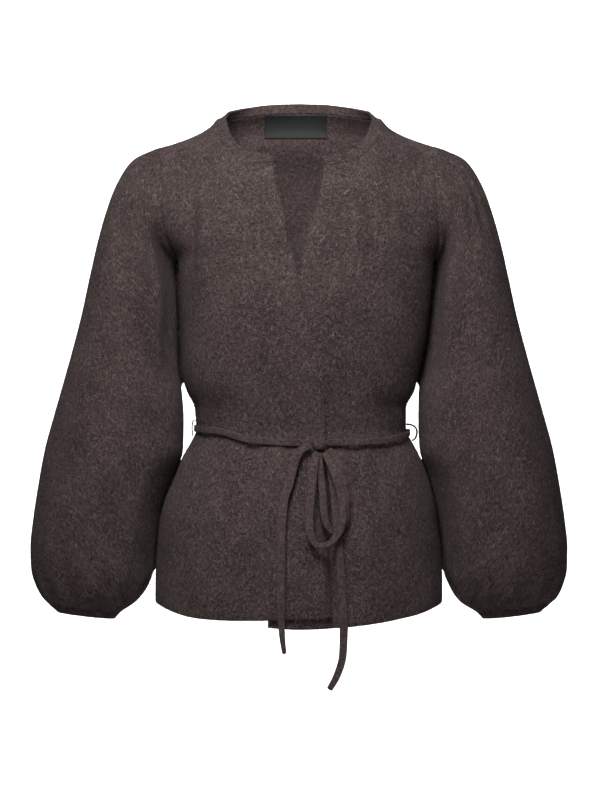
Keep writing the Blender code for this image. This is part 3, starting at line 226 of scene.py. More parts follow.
# the cloth beside the armhole is fuller above the crease of the armpit
armholeFill = {"out": 0.0055, "reach": 0.22, "top": -0.010, "peak": -0.070, "bottom": -0.128}


def halfWidth(xSide, z):
    right, left = (readTable(bodyForm, "z", side, z) for side in ("right", "left"))
    return np.where(np.asarray(xSide) < 0, right, left)


def shoulderHeight(x):
    return readTable(shoulderRidge, "x", "z", np.abs(x))


def bodyPoint(place, z, behind):
    place = np.asarray(place, dtype=float)
    z = np.asarray(z, dtype=float)
    power = bodyShape["roundness"]
    x = np.sign(place) * halfWidth(place, z) * np.abs(np.sin(place)) ** power
    depth = readTable(bodyForm, "z", "back" if behind else "front", z) * np.abs(np.cos(place)) ** power
    length = bodyShape["backRoll"] if behind else bodyShape["frontRoll"]
    drop = np.clip((shoulderHeight(x) - z) / length, 0.0, 1.0)
    depth = depth * np.sqrt(1 - (1 - drop) ** 2)
    return np.stack(np.broadcast_arrays(x, depth if behind else -depth, z), axis=-1)


def placeOf(x, z):
    share = np.clip(np.abs(x) / halfWidth(x, z), 0.0, 1.0)
    return np.sign(x) * np.arcsin(share ** (1 / bodyShape["roundness"]))


def foldHeight(folds, x, z):
    total = np.zeros(np.shape(x))
    for foldX, top, bottom, lean, width, height in zip(*(folds[name] for name in folds)):
        centre = foldX + lean * (z - (top + bottom) / 2)
        along = np.clip((z - bottom) / (top - bottom), 0.0, 1.0)
        total = total + height * np.sin(math.pi * along) ** 2 * np.exp(-(((x - centre) / width) ** 2))
    return total


def lapLift(x, z):
    behindEdge = readTable(underEdge, "z", "x", z)
    return cloth["lapLift"] * ease((x - behindEdge + cloth["lapBlend"]) / (cloth["lapBlend"] - 0.002))


def gridNormals(points, closed, centres=None):
    across = np.roll(points, -1, axis=1) - np.roll(points, 1, axis=1) if closed else np.gradient(points, axis=1)
    normals = unit(np.cross(across, np.gradient(points, axis=0)))
    away = points * np.array([1.0, 1.0, 0.0]) if centres is None else points - centres
    return -normals if np.sum(normals * away) < 0 else normals


def patchGrid(side, inner, bottom, top, sideFade):
    fromSide = (1 - np.linspace(0, 1, len(bottom))[None, :, None]) ** sideFade
    fromTop = np.linspace(0, 1, len(side))[:, None, None] ** bodyShape["topFade"]

    def between(first, second):
        return fromSide * first + (1 - fromSide) * second

    lower = bottom[None] - between(side[0], inner[0])
    upper = top[None] - between(side[-1], inner[-1])
    return between(side[:, None], inner[:, None]) + (1 - fromTop) * lower + fromTop * upper


rowsBelowArm = len(rowHeights)
fineBelow = rowsBelowArm * cloth["rowDetail"]      # index of the underarm row in the fine grid
shoulderCount = bodyShape["shoulderColumns"] * cloth["columnDetail"]
frontNeckCount = bodyShape["frontNeckColumns"] * cloth["columnDetail"]
backNeckCount = bodyShape["halfBackNeckColumns"] * cloth["columnDetail"]


def lowHeights():
    # heights of the fine rows below the underarm row
    known = np.append(rowHeights, bodyShape["underarmZ"])
    at = np.arange(fineBelow) / cloth["rowDetail"]
    return np.interp(at, np.arange(len(known)), known)


def sideLine(side):
    low = lowHeights()
    seam = np.stack([np.full(len(low), math.pi / 2), low], axis=-1)
    turn = np.linspace(180.0, 0.0, bodyShape["armRows"] * cloth["rowDetail"] + 1)
    tipZ = float(shoulderHeight(bodyShape["tipX"]))
    z = tipZ + (bodyShape["underarmZ"] - tipZ) * (1 - np.cos(np.radians(turn) / 2))
    place = np.radians(readTable(armholeLine, "turn", "place", turn))
    place[-1] = float(np.abs(placeOf(side * bodyShape["tipX"], tipZ)))
    line = np.concatenate([seam, np.stack([place, z], axis=-1)])
    line[:, 0] *= side
    return line


def freeEdge(table):
    hemZ = table["z"][0]
    share = (lowHeights() - bodyShape["hemZ"]) / (bodyShape["underarmZ"] - bodyShape["hemZ"])
    low = hemZ + (bodyShape["edgeTurnZ"] - hemZ) * share
    high = np.linspace(bodyShape["edgeTurnZ"], table["z"][-1], bodyShape["armRows"] * cloth["rowDetail"] + 1)
    z = np.concatenate([low, high])
    return np.stack([placeOf(readTable(table, "z", "x", z), z), z], axis=-1)


def shoulderLine(side):
    x = np.linspace(bodyShape["tipX"], bodyShape["neckPointX"], shoulderCount + 1)
    z = shoulderHeight(x)
    return np.stack([placeOf(side * x, z), z], axis=-1)


def neckLine(table, count, side, backwards=False):
    at = np.linspace(0, len(table["seamX"]) - 1, count + 1)
    if backwards:
        at = at[::-1]
    z = readByRow(table, "seamZ", at)
    return np.stack([placeOf(side * readByRow(table, "seamX", at), z), z], axis=-1)


def hemLine(table, first, last, count):
    place = np.linspace(first, last, count + 1)
    return np.stack([place, readTable(table, "place", "z", np.degrees(place))], axis=-1)


def frontGrid(side, edgeTable, hemTable, over):
    seam = sideLine(side)
    edge = freeEdge(edgeTable)
    top = np.concatenate([shoulderLine(side), neckLine(frontNeck, frontNeckCount, side, backwards=True)[1:]])
    hem = hemLine(hemTable, seam[0, 0], edge[0, 0], len(top) - 1)
    edge[-1] = top[-1]
    hem[0] = seam[0]
    edge[0] = hem[-1]
    sheet = patchGrid(seam, edge, hem, top, bodyShape["sideFade"])
    points = bodyPoint(sheet[..., 0], sheet[..., 1], behind=False)
    u = np.linspace(0, 1, len(top))[None, :]
    v = np.linspace(0, 1, len(seam))[:, None]
    topFade = ease((1 - v) / foldFade["top"])
    fade = ease(u / foldFade["side"]) * topFade
    x, z = points[..., 0], points[..., 2]
    out = (foldHeight(frontFolds, x, z) + creaseDepth * foldHeight(frontCreases, x, z)) * fade
    fill = armholeFill
    above = ease((fill["top"] - z) / (fill["top"] - fill["peak"]))
    swell = above * ease((z - fill["bottom"]) / (fill["peak"] - fill["bottom"]))
    out = out + fill["out"] * swell * (1 - ease(u / fill["reach"]))
    if over:
        out = out + lapLift(x, z) * topFade
    return points + gridNormals(points, False) * out[..., None]


def backGrid():
    right = sideLine(-1)
    left = sideLine(1)
    half = neckLine(backNeck, backNeckCount, 1)
    top = np.concatenate([shoulderLine(-1), (half * np.array([-1.0, 1.0]))[1:], half[::-1][1:],
                          shoulderLine(1)[::-1][1:]])
    hem = hemLine(backHem, right[0, 0], left[0, 0], len(top) - 1)
    sheet = patchGrid(right, left, hem, top, 1)
    points = bodyPoint(sheet[..., 0], sheet[..., 1], behind=True)
    u = np.linspace(0, 1, len(top))[None, :]
    v = np.linspace(0, 1, len(right))[:, None]
    fade = ease(u / foldFade["side"]) * ease((1 - u) / foldFade["side"]) * ease((1 - v) / foldFade["top"])
    x, z = points[..., 0], points[..., 2]
    out = (foldHeight(backFolds, x, z) + creaseDepth * foldHeight(backCreases, x, z)) * fade
    return points + gridNormals(points, False) * out[..., None]


sleeveForm = makeTable(
    "outerX outerZ innerZ innerRight innerLeft depth shift",
    (0.1888, -0.0255, -0.1720, 0.1597, 0.1782, 0.0560, 0.000),
    (0.2178, -0.0392, -0.1755, 0.1642, 0.1826, 0.0610, 0.000),
    (0.2402, -0.0709, -0.1850, 0.1650, 0.1826, 0.0640, 0.000),
    (0.2540, -0.1060, -0.1970, 0.1640, 0.1812, 0.0650, 0.001),
    (0.2655, -0.1460, -0.2130, 0.1625, 0.1795, 0.0650, 0.002),
    (0.2772, -0.1976, -0.2400, 0.1612, 0.1765, 0.0640, 0.002),
    (0.2880, -0.2470, -0.2740, 0.1604, 0.1720, 0.0640, 0.003),
    (0.3000, -0.2930, -0.3120, 0.1592, 0.1650, 0.0650, 0.003),
    (0.3120, -0.3360, -0.3480, 0.1545, 0.1580, 0.0680, 0.003),
    (0.3240, -0.3780, -0.3830, 0.1522, 0.1575, 0.0720, 0.003),
    (0.3353, -0.4194, -0.4210, 0.1530, 0.1592, 0.0760, 0.003),
    (0.3440, -0.4650, -0.4620, 0.1690, 0.1740, 0.0790, 0.004),
    (0.3510, -0.5100, -0.5040, 0.1838, 0.1832, 0.0800, 0.005),
    (0.3550, -0.5500, -0.5450, 0.1898, 0.1890, 0.0790, 0.005),
    (0.3538, -0.5778, -0.5800, 0.1925, 0.1915, 0.0750, 0.005),
    (0.3472, -0.5989, -0.6020, 0.2010, 0.2010, 0.0670, 0.004),
    (0.3385, -0.6135, -0.6200, 0.2150, 0.2140, 0.0550, 0.002),
    (0.3295, -0.6244, -0.6362, 0.2367, 0.2360, 0.0300, 0.000),
    (0.3188, -0.6357, -0.6446, 0.2429, 0.2425, 0.0270, 0.000),
)
# turn in degrees: 0 outer, 90 front, 180 inner, 270 back
sleeveFolds = {
    -1: makeTable(
        "turn first last twist width height",
        (34, 0.3, 4.2, 2, 9, -0.0026), (60, 0.3, 5.0, 3, 9, -0.0032), (84, 0.4, 4.0, 2, 8, -0.0022),
        (118, 0.8, 7.5, -4, 11, -0.0034), (146, 2.0, 10.0, -3, 11, -0.0034), (74, 5.0, 14.5, 1, 20, 0.0034),
        (112, 7.5, 15.0, 1, 16, -0.0036), (30, 8.0, 15.5, 0, 16, -0.0026), (322, 0.3, 4.0, -2, 9, -0.0026),
        (294, 0.4, 5.0, -3, 9, -0.003), (238, 0.8, 7.0, 4, 11, -0.0034), (214, 2.5, 9.0, 3, 11, -0.003),
        (282, 5.5, 14.0, -1, 20, 0.0034), (250, 8.0, 15.0, 0, 15, -0.0034), (325, 9.0, 15.5, 0, 16, -0.003),
        (47, 0.2, 3.4, 2, 5, 0.0014), (72, 0.2, 3.6, 3, 5, 0.0014), (100, 0.5, 4.0, 0, 6, 0.0012),
        (132, 1.5, 6.5, -4, 6, 0.0016), (96, 3.0, 8.0, 5, 7, -0.0014), (54, 9.0, 14.5, 2, 7, -0.0014),
        (90, 10.5, 15.0, -1, 6, -0.0014), (128, 10.0, 14.5, 1, 7, 0.0014), (308, 0.2, 3.4, -2, 5, 0.0014),
        (268, 2.5, 8.0, 4, 7, -0.0014), (300, 10.0, 15.0, 1, 7, -0.0014), (232, 10.0, 14.6, 0, 7, 0.0014),
    ),
    1: makeTable(
        "turn first last twist width height",
        (28, 0.3, 4.4, 2, 9, -0.0028), (52, 0.3, 4.8, 3, 9, -0.0034), (80, 0.4, 4.4, 2, 9, -0.0024),
        (122, 0.8, 7.0, -4, 11, -0.0032), (150, 2.4, 9.0, -3, 11, -0.0034), (66, 5.5, 14.5, 1, 20, 0.0036),
        (104, 8.0, 15.0, 1, 16, -0.0034), (24, 7.5, 15.5, 0, 16, -0.0028), (328, 0.3, 4.4, -2, 9, -0.0026),
        (300, 0.4, 4.6, -3, 9, -0.003), (242, 0.8, 6.6, 4, 11, -0.0032), (210, 2.5, 9.4, 3, 11, -0.0032),
        (276, 6.0, 14.2, -1, 20, 0.0034), (244, 8.6, 15.0, 0, 15, -0.0032), (318, 9.0, 15.5, 0, 16, -0.0028),
        (40, 0.2, 3.8, 2, 5, 0.0015), (66, 0.2, 3.9, 3, 5, 0.0015), (94, 0.5, 4.2, 1, 6, 0.0012),
        (136, 1.5, 6.2, -4, 6, 0.0016), (100, 3.0, 7.6, 5, 7, -0.0014), (46, 9.5, 14.5, 2, 7, -0.0014),
        (84, 10.5, 15.0, -1, 6, -0.0014), (122, 10.0, 14.5, 1, 7, 0.0014), (314, 0.2, 3.4, -2, 5, 0.0014),
        (262, 2.8, 8.0, 4, 7, -0.0014), (296, 10.0, 15.0, 1, 7, -0.0014), (226, 10.0, 14.6, 0, 7, 0.0014),
    ),
}
sleeveShape = {
    "blendRings": 5, "roundness": 0.95, "armRings": 14, "puffRings": 7, "armEnd": 12, "cuffRing": 17,
    "gathers": 12, "gatherHeight": 0.0024, "gatherStart": 13.4, "uneven": 0.35, "atCuff": 0.35,
    "fineGathers": 31, "fineHeight": 0.0007,
    "tuckClear": 0.0012,
}
# how far the sleeve is pressed on the body behind the side seam, by ring and by turn
tuckByRing = makeTable("ring press", (0.4, 0.0), (1.4, 1.0), (7.2, 1.0), (8.1, 0.0), (10.0, 0.0), (10.7, 1.0),
                       (13.5, 1.0), (14.6, 0.0))
tuckByTurn = makeTable("turn press", (182, 0.0), (192, 0.25), (204, 0.95), (214, 1.0), (236, 1.0), (262, 0.0))
creaseByTurn = makeTable("turn back", (132, 0.0), (162, 0.0115), (182, 0.0095), (202, 0.0))


def sleeveGrid(side, front, back):
    shape = sleeveShape
    detail = cloth["ringDetail"]
    armhole = np.concatenate([front[::-1], back[1:-1]])
    turns = np.arange(len(armhole)) * 360.0 / len(armhole)
    angle = np.radians(turns)
    last = shape["cuffRing"]
    at = np.concatenate([
        np.linspace(0, shape["armEnd"], (shape["armRings"] - 1) * detail + 1),
        np.linspace(shape["armEnd"], last, (shape["puffRings"] - 1) * detail + 1)[1:],
        np.linspace(last, last + 1, 2 * detail + 1)[1:],
    ])
    cuffStart = len(at) - 2 * detail - 1
    zero = np.zeros(len(at))
    innerName = "innerRight" if side < 0 else "innerLeft"
    outer, inner = (
        np.stack([side * readByRow(sleeveForm, nameX, at), zero, readByRow(sleeveForm, nameZ, at)], axis=-1)
        for nameX, nameZ in (("outerX", "outerZ"), (innerName, "innerZ")))
    depth = readByRow(sleeveForm, "depth", at)
    shift = readByRow(sleeveForm, "shift", at)
    chord = inner - outer
    length = np.linalg.norm(chord, axis=-1)
    down = unit(np.cross(chord, np.array([0.0, float(side), 0.0])))
    start = armhole - outer[0]
    startShare = start @ chord[0] / length[0] ** 2
    cosine, sine = np.cos(angle), np.sin(angle)
    ovalShare = (1 - np.sign(cosine) * np.abs(cosine) ** shape["roundness"]) / 2
    ovalY = -np.sign(sine) * np.abs(sine) ** shape["roundness"]
    mix = ease(at / shape["blendRings"])[:, None]
    share = startShare * (1 - mix) + ovalShare * mix
    y = armhole[:, 1] * (1 - mix) + (ovalY * depth[:, None] + shift[:, None]) * mix
    fall = (start @ down[0]) * (1 - mix)
    points = outer[:, None] + chord[:, None] * share[..., None] + down[:, None] * fall[..., None]
    points[..., 1] += y

    folds = sleeveFolds[side]
    out = np.zeros((len(at), len(angle)))
    for turn, first, end, twist, width, height in zip(*(folds[name] for name in folds)):
        centre = turn + twist * (at - (first + end) / 2)
        away = (turns[None] - centre[:, None] + 180) % 360 - 180
        swell = np.sin(math.pi * np.clip((at - first) / (end - first), 0, 1)) ** 2
        out += height * swell[:, None] * np.exp(-((away / width) ** 2))
    gather = ease((at - shape["gatherStart"]) / (last - 1 - shape["gatherStart"]))
    gather *= 1 - (1 - shape["atCuff"]) * ease(at - last + 1)
    gather *= 1 - ease(at - last)
    uneven = 1 + shape["uneven"] * np.sin(2 * angle + side) + shape["uneven"] * np.sin(5 * angle)
    out += shape["gatherHeight"] * gather[:, None] * np.cos(shape["gathers"] * angle) * uneven
    fine = ease((at - 14.8) / 1.6) * (1 - ease(at - last))
    out += shape["fineHeight"] * fine[:, None] * np.cos(shape["fineGathers"] * angle + 2 * np.sin(3 * angle))
    centres = (outer + inner)[:, None] / 2
    made = points + gridNormals(points, True, centres) * out[..., None]
    # the back of the inner side lies against the body, so no light comes through
    z = made[..., 2]
    inward = np.clip(made[..., 1] / readTable(bodyForm, "z", "back", z), 0.0, 1.0)
    inward = inward ** (1 / bodyShape["roundness"])
    bodyX = halfWidth(np.full(z.shape, float(side)), z) * (1 - inward ** 2) ** (bodyShape["roundness"] / 2)
    pressed = readTable(tuckByRing, "ring", "press", at)[:, None]
    press = pressed * readTable(tuckByTurn, "turn", "press", turns)[None]
    press = np.where(turns[None] < 180, 0.0, press)
    made[..., 0] += press * (side * (bodyX + shape["tuckClear"]) - made[..., 0])
    made[..., 1] += readTable(creaseByTurn, "turn", "back", turns)[None] * pressed
    return made, cuffStart


def bandGrid(seam):
    table = {name: np.concatenate([frontNeck[name], backNeck[name][1:]]) for name in frontNeck}
    half = len(frontNeck["topX"]) - 1
    at = np.concatenate([np.linspace(0, half, frontNeckCount + 1),
                         np.linspace(half, len(table["topX"]) - 1, backNeckCount + 1)[1:]])
    edge = np.stack([readByRow(table, name, at) for name in ("topX", "topY", "topZ")], axis=-1)
    top = np.concatenate([edge * np.array([-1.0, 1.0, 1.0]), edge[::-1][1:]])
    steps = np.linspace(0, 1, 2 * cloth["rowDetail"] + 1)
    return np.stack([seam + (top - seam) * step for step in steps])


def borderOf(points, closed):
    rows, columns = points.shape[:2]
    spots = [(r, c) for r in (0, rows - 1) for c in range(columns)]
    if not closed:
        spots += [(r, c) for r in range(1, rows - 1) for c in (0, columns - 1)]
    return spots


def shareOffsets(pieces):
    # one wall direction for each point where pieces meet
    meeting = {}
    for piece in pieces:
        for spot in piece["border"]:
            group = meeting.setdefault(tuple(np.round(piece["points"][spot], 6)), {})
            group[piece["group"]] = group.get(piece["group"], 0) + piece["normals"][spot]
    for piece in pieces:
        piece["offset"] = piece["normals"] * cloth["wall"]
        for spot in piece["border"]:
            own = [unit(normal) for normal in meeting[tuple(np.round(piece["points"][spot], 6))].values()]
            shared = unit(sum(own))
            lean = min(float(shared @ normal) for normal in own)
            piece["offset"][spot] = shared * cloth["wall"] * min(cloth["mitreLimit"], 1 / max(lean, 0.1))


def drawBack(outer, inner, seams, closed):
    ends = {
        "firstRow": ((0, slice(None)), (1, slice(None))),
        "lastRow": ((-1, slice(None)), (-2, slice(None))),
        "firstColumn": ((slice(None), 0), (slice(None), 1)),
        "lastColumn": ((slice(None), -1), (slice(None), -2)),
    }
    move = np.zeros(outer.shape)
    for seam in seams:
        end, beside = ends[seam]
        edge = outer[end]
        along = np.roll(edge, -1, axis=0) - np.roll(edge, 1, axis=0) if closed else np.gradient(edge, axis=0)
        way = unit(np.cross(along, edge - inner[end]))
        toward = np.sum(way * (outer[beside] - edge), axis=-1, keepdims=True)
        move[end] += way * np.sign(toward) * cloth["seamGap"] / 2
    return outer + move, inner + move


def layFlat(points, closed):
    # cloth coordinates in metres: across from the first column, and down the length
    across = np.linalg.norm(np.diff(points, axis=1), axis=-1)
    u = np.concatenate([np.zeros((len(points), 1)), np.cumsum(across, axis=1)], axis=1)
    u = u - u[:, u.shape[1] // 2][:, None] * (0 if closed else 1)
    down = np.linalg.norm(np.diff(points, axis=0), axis=-1)
    v = np.concatenate([np.zeros((1, points.shape[1])), np.cumsum(down, axis=0)], axis=0)
    return np.stack([u, v], axis=-1)


def addMesh(name, verts, faces, uvs=None, pile=None, grain=None):
    mesh = bpy.data.meshes.new(name)
    mesh.from_pydata([tuple(map(float, vert)) for vert in verts], [], faces)
    if uvs is not None:
        layer = mesh.uv_layers.new(name="clothMap")
        loops = np.empty(len(mesh.loops), dtype=np.int64)
        mesh.loops.foreach_get("vertex_index", loops)
        layer.data.foreach_set("uv", np.asarray(uvs, dtype=np.float32)[loops].ravel())
    if pile is not None:
        mesh.attributes.new("pile", "FLOAT", "POINT").data.foreach_set(
            "value", np.asarray(pile, dtype=np.float32))
    if grain is not None:
        mesh.attributes.new("grain", "FLOAT_VECTOR", "POINT").data.foreach_set(
            "vector", np.asarray(grain, dtype=np.float32).ravel())
    work = bmesh.new()
    work.from_mesh(mesh)
    if work.calc_volume(signed=True) < 0:
        bmesh.ops.reverse_faces(work, faces=work.faces)
    work.to_mesh(mesh)
    work.free()
    mesh.shade_smooth()
    piece = bpy.data.objects.new(name, mesh)
    bpy.context.scene.collection.objects.link(piece)
    return piece


def clothWall(name, outer, inner, closed, insidePile=0.0, freeSides=(), brushedFrom=None):
    rows, columns = outer.shape[:2]
    skip = rows * columns
    spans = columns if closed else columns - 1

    def at(row, col):
        return row * columns + col % columns

    faces = []
    for row in range(rows - 1):
        for col in range(spans):
            quad = (at(row, col), at(row, col + 1), at(row + 1, col + 1), at(row + 1, col))
            faces.append(quad)
            faces.append(tuple(skip + corner for corner in reversed(quad)))
    rim = []
    for col in range(spans):
        rim += [(at(0, col + 1), at(0, col)), (at(rows - 1, col), at(rows - 1, col + 1))]
    if not closed:
        for row in range(rows - 1):
            rim += [(at(row, 0), at(row + 1, 0)), (at(row + 1, columns - 1), at(row, columns - 1))]
    faces += [(first, second, skip + second, skip + first) for first, second in rim]
    flat = layFlat(outer, closed).reshape(-1, 2)
    grain = unit(-np.gradient(outer, axis=0)).reshape(-1, 3)
    if outer[0, 0, 2] > outer[-1, 0, 2]:
        grain = -grain
    inside = np.zeros((rows, columns)) + insidePile
    if brushedFrom is not None:
        inside = insidePile + (1 - insidePile) * ease((outer[..., 2] - brushedFrom) / 0.03)
    pile = np.concatenate([np.ones(skip), inside.reshape(-1)])
    verts = np.concatenate([outer.reshape(-1, 3), inner.reshape(-1, 3)])
    piece = addMesh(name, verts, faces, np.concatenate([flat, flat]), pile, np.concatenate([grain, grain]))
    # marks the inner faces, which the wool material paints lighter as painted light
    within = np.concatenate([np.zeros(skip), np.ones(skip)])
    piece.data.attributes.new("within", "FLOAT", "POINT").data.foreach_set("value", within)
    index = np.arange(skip).reshape(rows, columns)
    sides = {"firstRow": index[0], "lastRow": index[-1], "firstColumn": index[:, 0], "lastColumn": index[:, -1]}
    softened = set()
    for side in freeSides:
        line = list(sides[side]) + ([sides[side][0]] if closed else [])
        for first, second in zip(line, line[1:]):
            softened |= {frozenset((first, second)), frozenset((skip + first, skip + second))}
    weights = [1.0 if frozenset(edge.vertices) in softened else 0.0 for edge in piece.data.edges]
    piece.data.attributes.new("bevel_weight_edge", "FLOAT", "EDGE").data.foreach_set("value", weights)
    if freeSides:
        roundEdges(piece, cloth["edgeRound"])
    return piece


def roundEdges(piece, width):
    bevel = piece.modifiers.new("edges", "BEVEL")
    bevel.width = width
    bevel.segments = 2
    bevel.limit_method = "WEIGHT"
    bevel.use_clamp_overlap = True
    applied(piece)


def applied(piece):
    graph = bpy.context.evaluated_depsgraph_get()
    made = bpy.data.meshes.new_from_object(piece.evaluated_get(graph), preserve_all_data_layers=True,
                                           depsgraph=graph)
    piece.modifiers.clear()
    old = piece.data
    piece.data = made
    made.name = piece.name
    bpy.data.meshes.remove(old)


def fillInputs(tree, node, values):
    # each input gets a plain value or another node's output
    for label, value in values.items():
        if isinstance(value, bpy.types.NodeSocket):
            tree.links.new(value, node.inputs[label])
        else:
            node.inputs[label].default_value = value


def newNode(tree, kind, values=None, **settings):
    node = tree.nodes.new(kind)
    for name, value in settings.items():
        setattr(node, name, value)
    fillInputs(tree, node, values or {})
    return node


def newSockets(tree, side, *sockets):
    for label, kind, value in sockets:
        socket = tree.interface.new_socket(label, in_out=side, socket_type="NodeSocket" + kind)
        if value is not None:
            socket.default_value = value


def newMaterial(name):
    made = bpy.data.materials.new(name)
    made.use_nodes = True
    return made, made.node_tree, made.node_tree.nodes["Principled BSDF"]


def mathNode(tree, operation, *values):
    return newNode(tree, "ShaderNodeMath", dict(enumerate(values)), operation=operation).outputs[0]


def noiseNode(tree, vector, scale, detail, roughness):
    values = {"Scale": scale, "Detail": detail, "Roughness": roughness, "Vector": vector}
    return newNode(tree, "ShaderNodeTexNoise", values).outputs["Fac"]


def stretchedNode(tree, vector, scale, turn=0.0):
    values = {"Scale": scale, "Rotation": (0.0, 0.0, turn), "Vector": vector}
    return newNode(tree, "ShaderNodeMapping", values).outputs["Vector"]


def colourRamp(tree, level, *stops):
    ramp = newNode(tree, "ShaderNodeValToRGB", {"Fac": level})
    points = ramp.color_ramp.elements
    for point, (position, colour) in zip((points[0], points[1]), (stops[0], stops[-1])):
        point.position = position
        point.color = colour
    for position, colour in stops[1:-1]:
        points.new(position).color = colour
    return ramp.outputs["Color"]


woolColours = {
    "deep": (0.0160, 0.0105, 0.0100, 1.0),
    "body": (0.0700, 0.0475, 0.0465, 1.0),
    "tip": (0.1500, 0.1130, 0.1110, 1.0),
    "redFleck": (0.0900, 0.0480, 0.0440, 1.0),
    "hairRoot": (0.0190, 0.0125, 0.0120, 1.0),
    "hairBody": (0.0900, 0.0640, 0.0630, 1.0),
    "hairTip": (0.3000, 0.2380, 0.2330, 1.0),
}


pilePattern = {
    "swirlScale": 34.0, "swirlReach": 0.016, "downScale": 950.0, "downStretch": 0.22,
    "acrossScale": 820.0, "acrossStretch": 0.26, "acrossTurn": 0.5, "streakFrom": 0.56, "streakGain": 2.6,
    "clumpScale": 210.0, "clumpGain": 0.9, "cloudScale": 19.0, "cloudGain": 0.55, "level": 0.42,
    "fleckScale": 120.0, "fleckFrom": 0.62, "fleckMix": 0.35, "clumpHeight": 0.8, "streakHeight": 2.2,
    # insidePaintedLight: painted light, a lighter tone added on the inner faces
    "roughness": 0.84, "roughnessGain": 0.12, "insidePaintedLight": 0.16, "bumpStrength": 0.85,
}


def brushedPileGroup():
    # matted hair: streaks that wander, clumps between them and soft clouds of tone
    look = pilePattern
    group = bpy.data.node_groups.new("brushedPile", "ShaderNodeTree")
    newSockets(group, "INPUT", ("Cloth", "Vector", None), ("Streaks", "Float", 1.0), ("Tone", "Float", 0.0))
    newSockets(group, "OUTPUT", ("Color", "Color", None), ("Height", "Float", None),
               ("Roughness", "Float", None))
    given = newNode(group, "NodeGroupInput").outputs

    def calc(operation, *values):
        return mathNode(group, operation, *values)

    swirl = newNode(group, "ShaderNodeTexNoise",
                    {"Scale": look["swirlScale"], "Detail": 2.0, "Vector": given["Cloth"]})
    reach = (look["swirlReach"], look["swirlReach"], 0.0)
    wandering = newNode(group, "ShaderNodeVectorMath", {0: swirl.outputs["Color"], 1: reach, 2: given["Cloth"]},
                        operation="MULTIPLY_ADD").outputs["Vector"]
    down = stretchedNode(group, wandering, (1.0, look["downStretch"], 1.0))
    across = stretchedNode(group, wandering, (look["acrossStretch"], 1.0, 1.0), look["acrossTurn"])
    streak = calc("MAXIMUM", noiseNode(group, down, look["downScale"], 3.0, 0.65),
                  noiseNode(group, across, look["acrossScale"], 3.0, 0.65))
    streak = calc("MULTIPLY", calc("SUBTRACT", streak, look["streakFrom"]), given["Streaks"])
    clump = noiseNode(group, given["Cloth"], look["clumpScale"], 3.0, 0.6)
    cloud = noiseNode(group, given["Cloth"], look["cloudScale"], 4.0, 0.55)
    level = calc("MULTIPLY_ADD", streak, look["streakGain"], look["level"])
    level = calc("MULTIPLY_ADD", calc("SUBTRACT", clump, 0.5), look["clumpGain"], level)
    level = calc("MULTIPLY_ADD", calc("SUBTRACT", cloud, 0.5), look["cloudGain"], level)
    level = calc("ADD", level, given["Tone"])
    colour = colourRamp(group, level, (0.05, woolColours["deep"]), (0.46, woolColours["body"]),
                        (0.98, woolColours["tip"]))
    fleck = noiseNode(group, given["Cloth"], look["fleckScale"], 2.0, 0.5)
    flecks = calc("MULTIPLY", calc("GREATER_THAN", fleck, look["fleckFrom"]), look["fleckMix"])
    mix = newNode(group, "ShaderNodeMix", {"Factor": flecks, "A": colour, "B": woolColours["redFleck"]},
                  data_type="RGBA")
    newNode(group, "NodeGroupOutput", {
        "Color": mix.outputs["Result"],
        "Height": calc("MULTIPLY_ADD", clump, look["clumpHeight"],
                       calc("MULTIPLY", streak, look["streakHeight"])),
        "Roughness": calc("MULTIPLY_ADD", clump, look["roughnessGain"], look["roughness"]),
    })
    return group


pileGroup = brushedPileGroup()


def woolMaterial(name, streaks, tone, bumpHeight, sheen):
    made, tree, shader = newMaterial(name)
    where = newNode(tree, "ShaderNodeUVMap", uv_map="clothMap").outputs["UV"]
    within = newNode(tree, "ShaderNodeAttribute", attribute_name="within").outputs["Fac"]
    # the inner faces are painted lighter: painted light standing in for light that reaches the inside of the
    # cloth
    paintedInsideLight = mathNode(tree, "MULTIPLY_ADD", within, pilePattern["insidePaintedLight"], tone)
    pile = newNode(tree, "ShaderNodeGroup", {"Streaks": streaks, "Tone": paintedInsideLight, "Cloth": where},
                   node_tree=pileGroup).outputs
    bump = newNode(tree, "ShaderNodeBump", {"Strength": pilePattern["bumpStrength"], "Distance": bumpHeight,
                                            "Height": pile["Height"]})
    fillInputs(tree, shader, {
        "Base Color": pile["Color"], "Roughness": pile["Roughness"], "Normal": bump.outputs["Normal"],
        "Specular IOR Level": 0.15, "Sheen Weight": sheen, "Sheen Roughness": 0.45,
        "Sheen Tint": (0.80, 0.72, 0.71, 1.0),
    })
    return made


def hairMaterial():
    made, tree, shader = newMaterial("looseHair")
    tone = newNode(tree, "ShaderNodeAttribute", attribute_name="tone").outputs["Fac"]
    colour = colourRamp(tree, tone, (0.0, woolColours["hairRoot"]), (0.55, woolColours["hairBody"]),
                        (1.0, woolColours["hairTip"]))
    fillInputs(tree, shader, {"Base Color": colour, "Roughness": 0.7, "Specular IOR Level": 0.2,
                              "Sheen Weight": 0.05})
    return made


bodyWool = woolMaterial("bodyWool", 1.0, 0.0, 0.0011, 0.06)
beltWool = woolMaterial("beltWool", 0.7, 0.04, 0.0006, 0.06)
looseHair = hairMaterial()


hairForm = {
    "sways": (-0.28, 0.05, 0.30), "bow": -0.22, "taper": -0.75, "sizes": (0.45, 1.25), "rises": (0.15, 1.0),
}


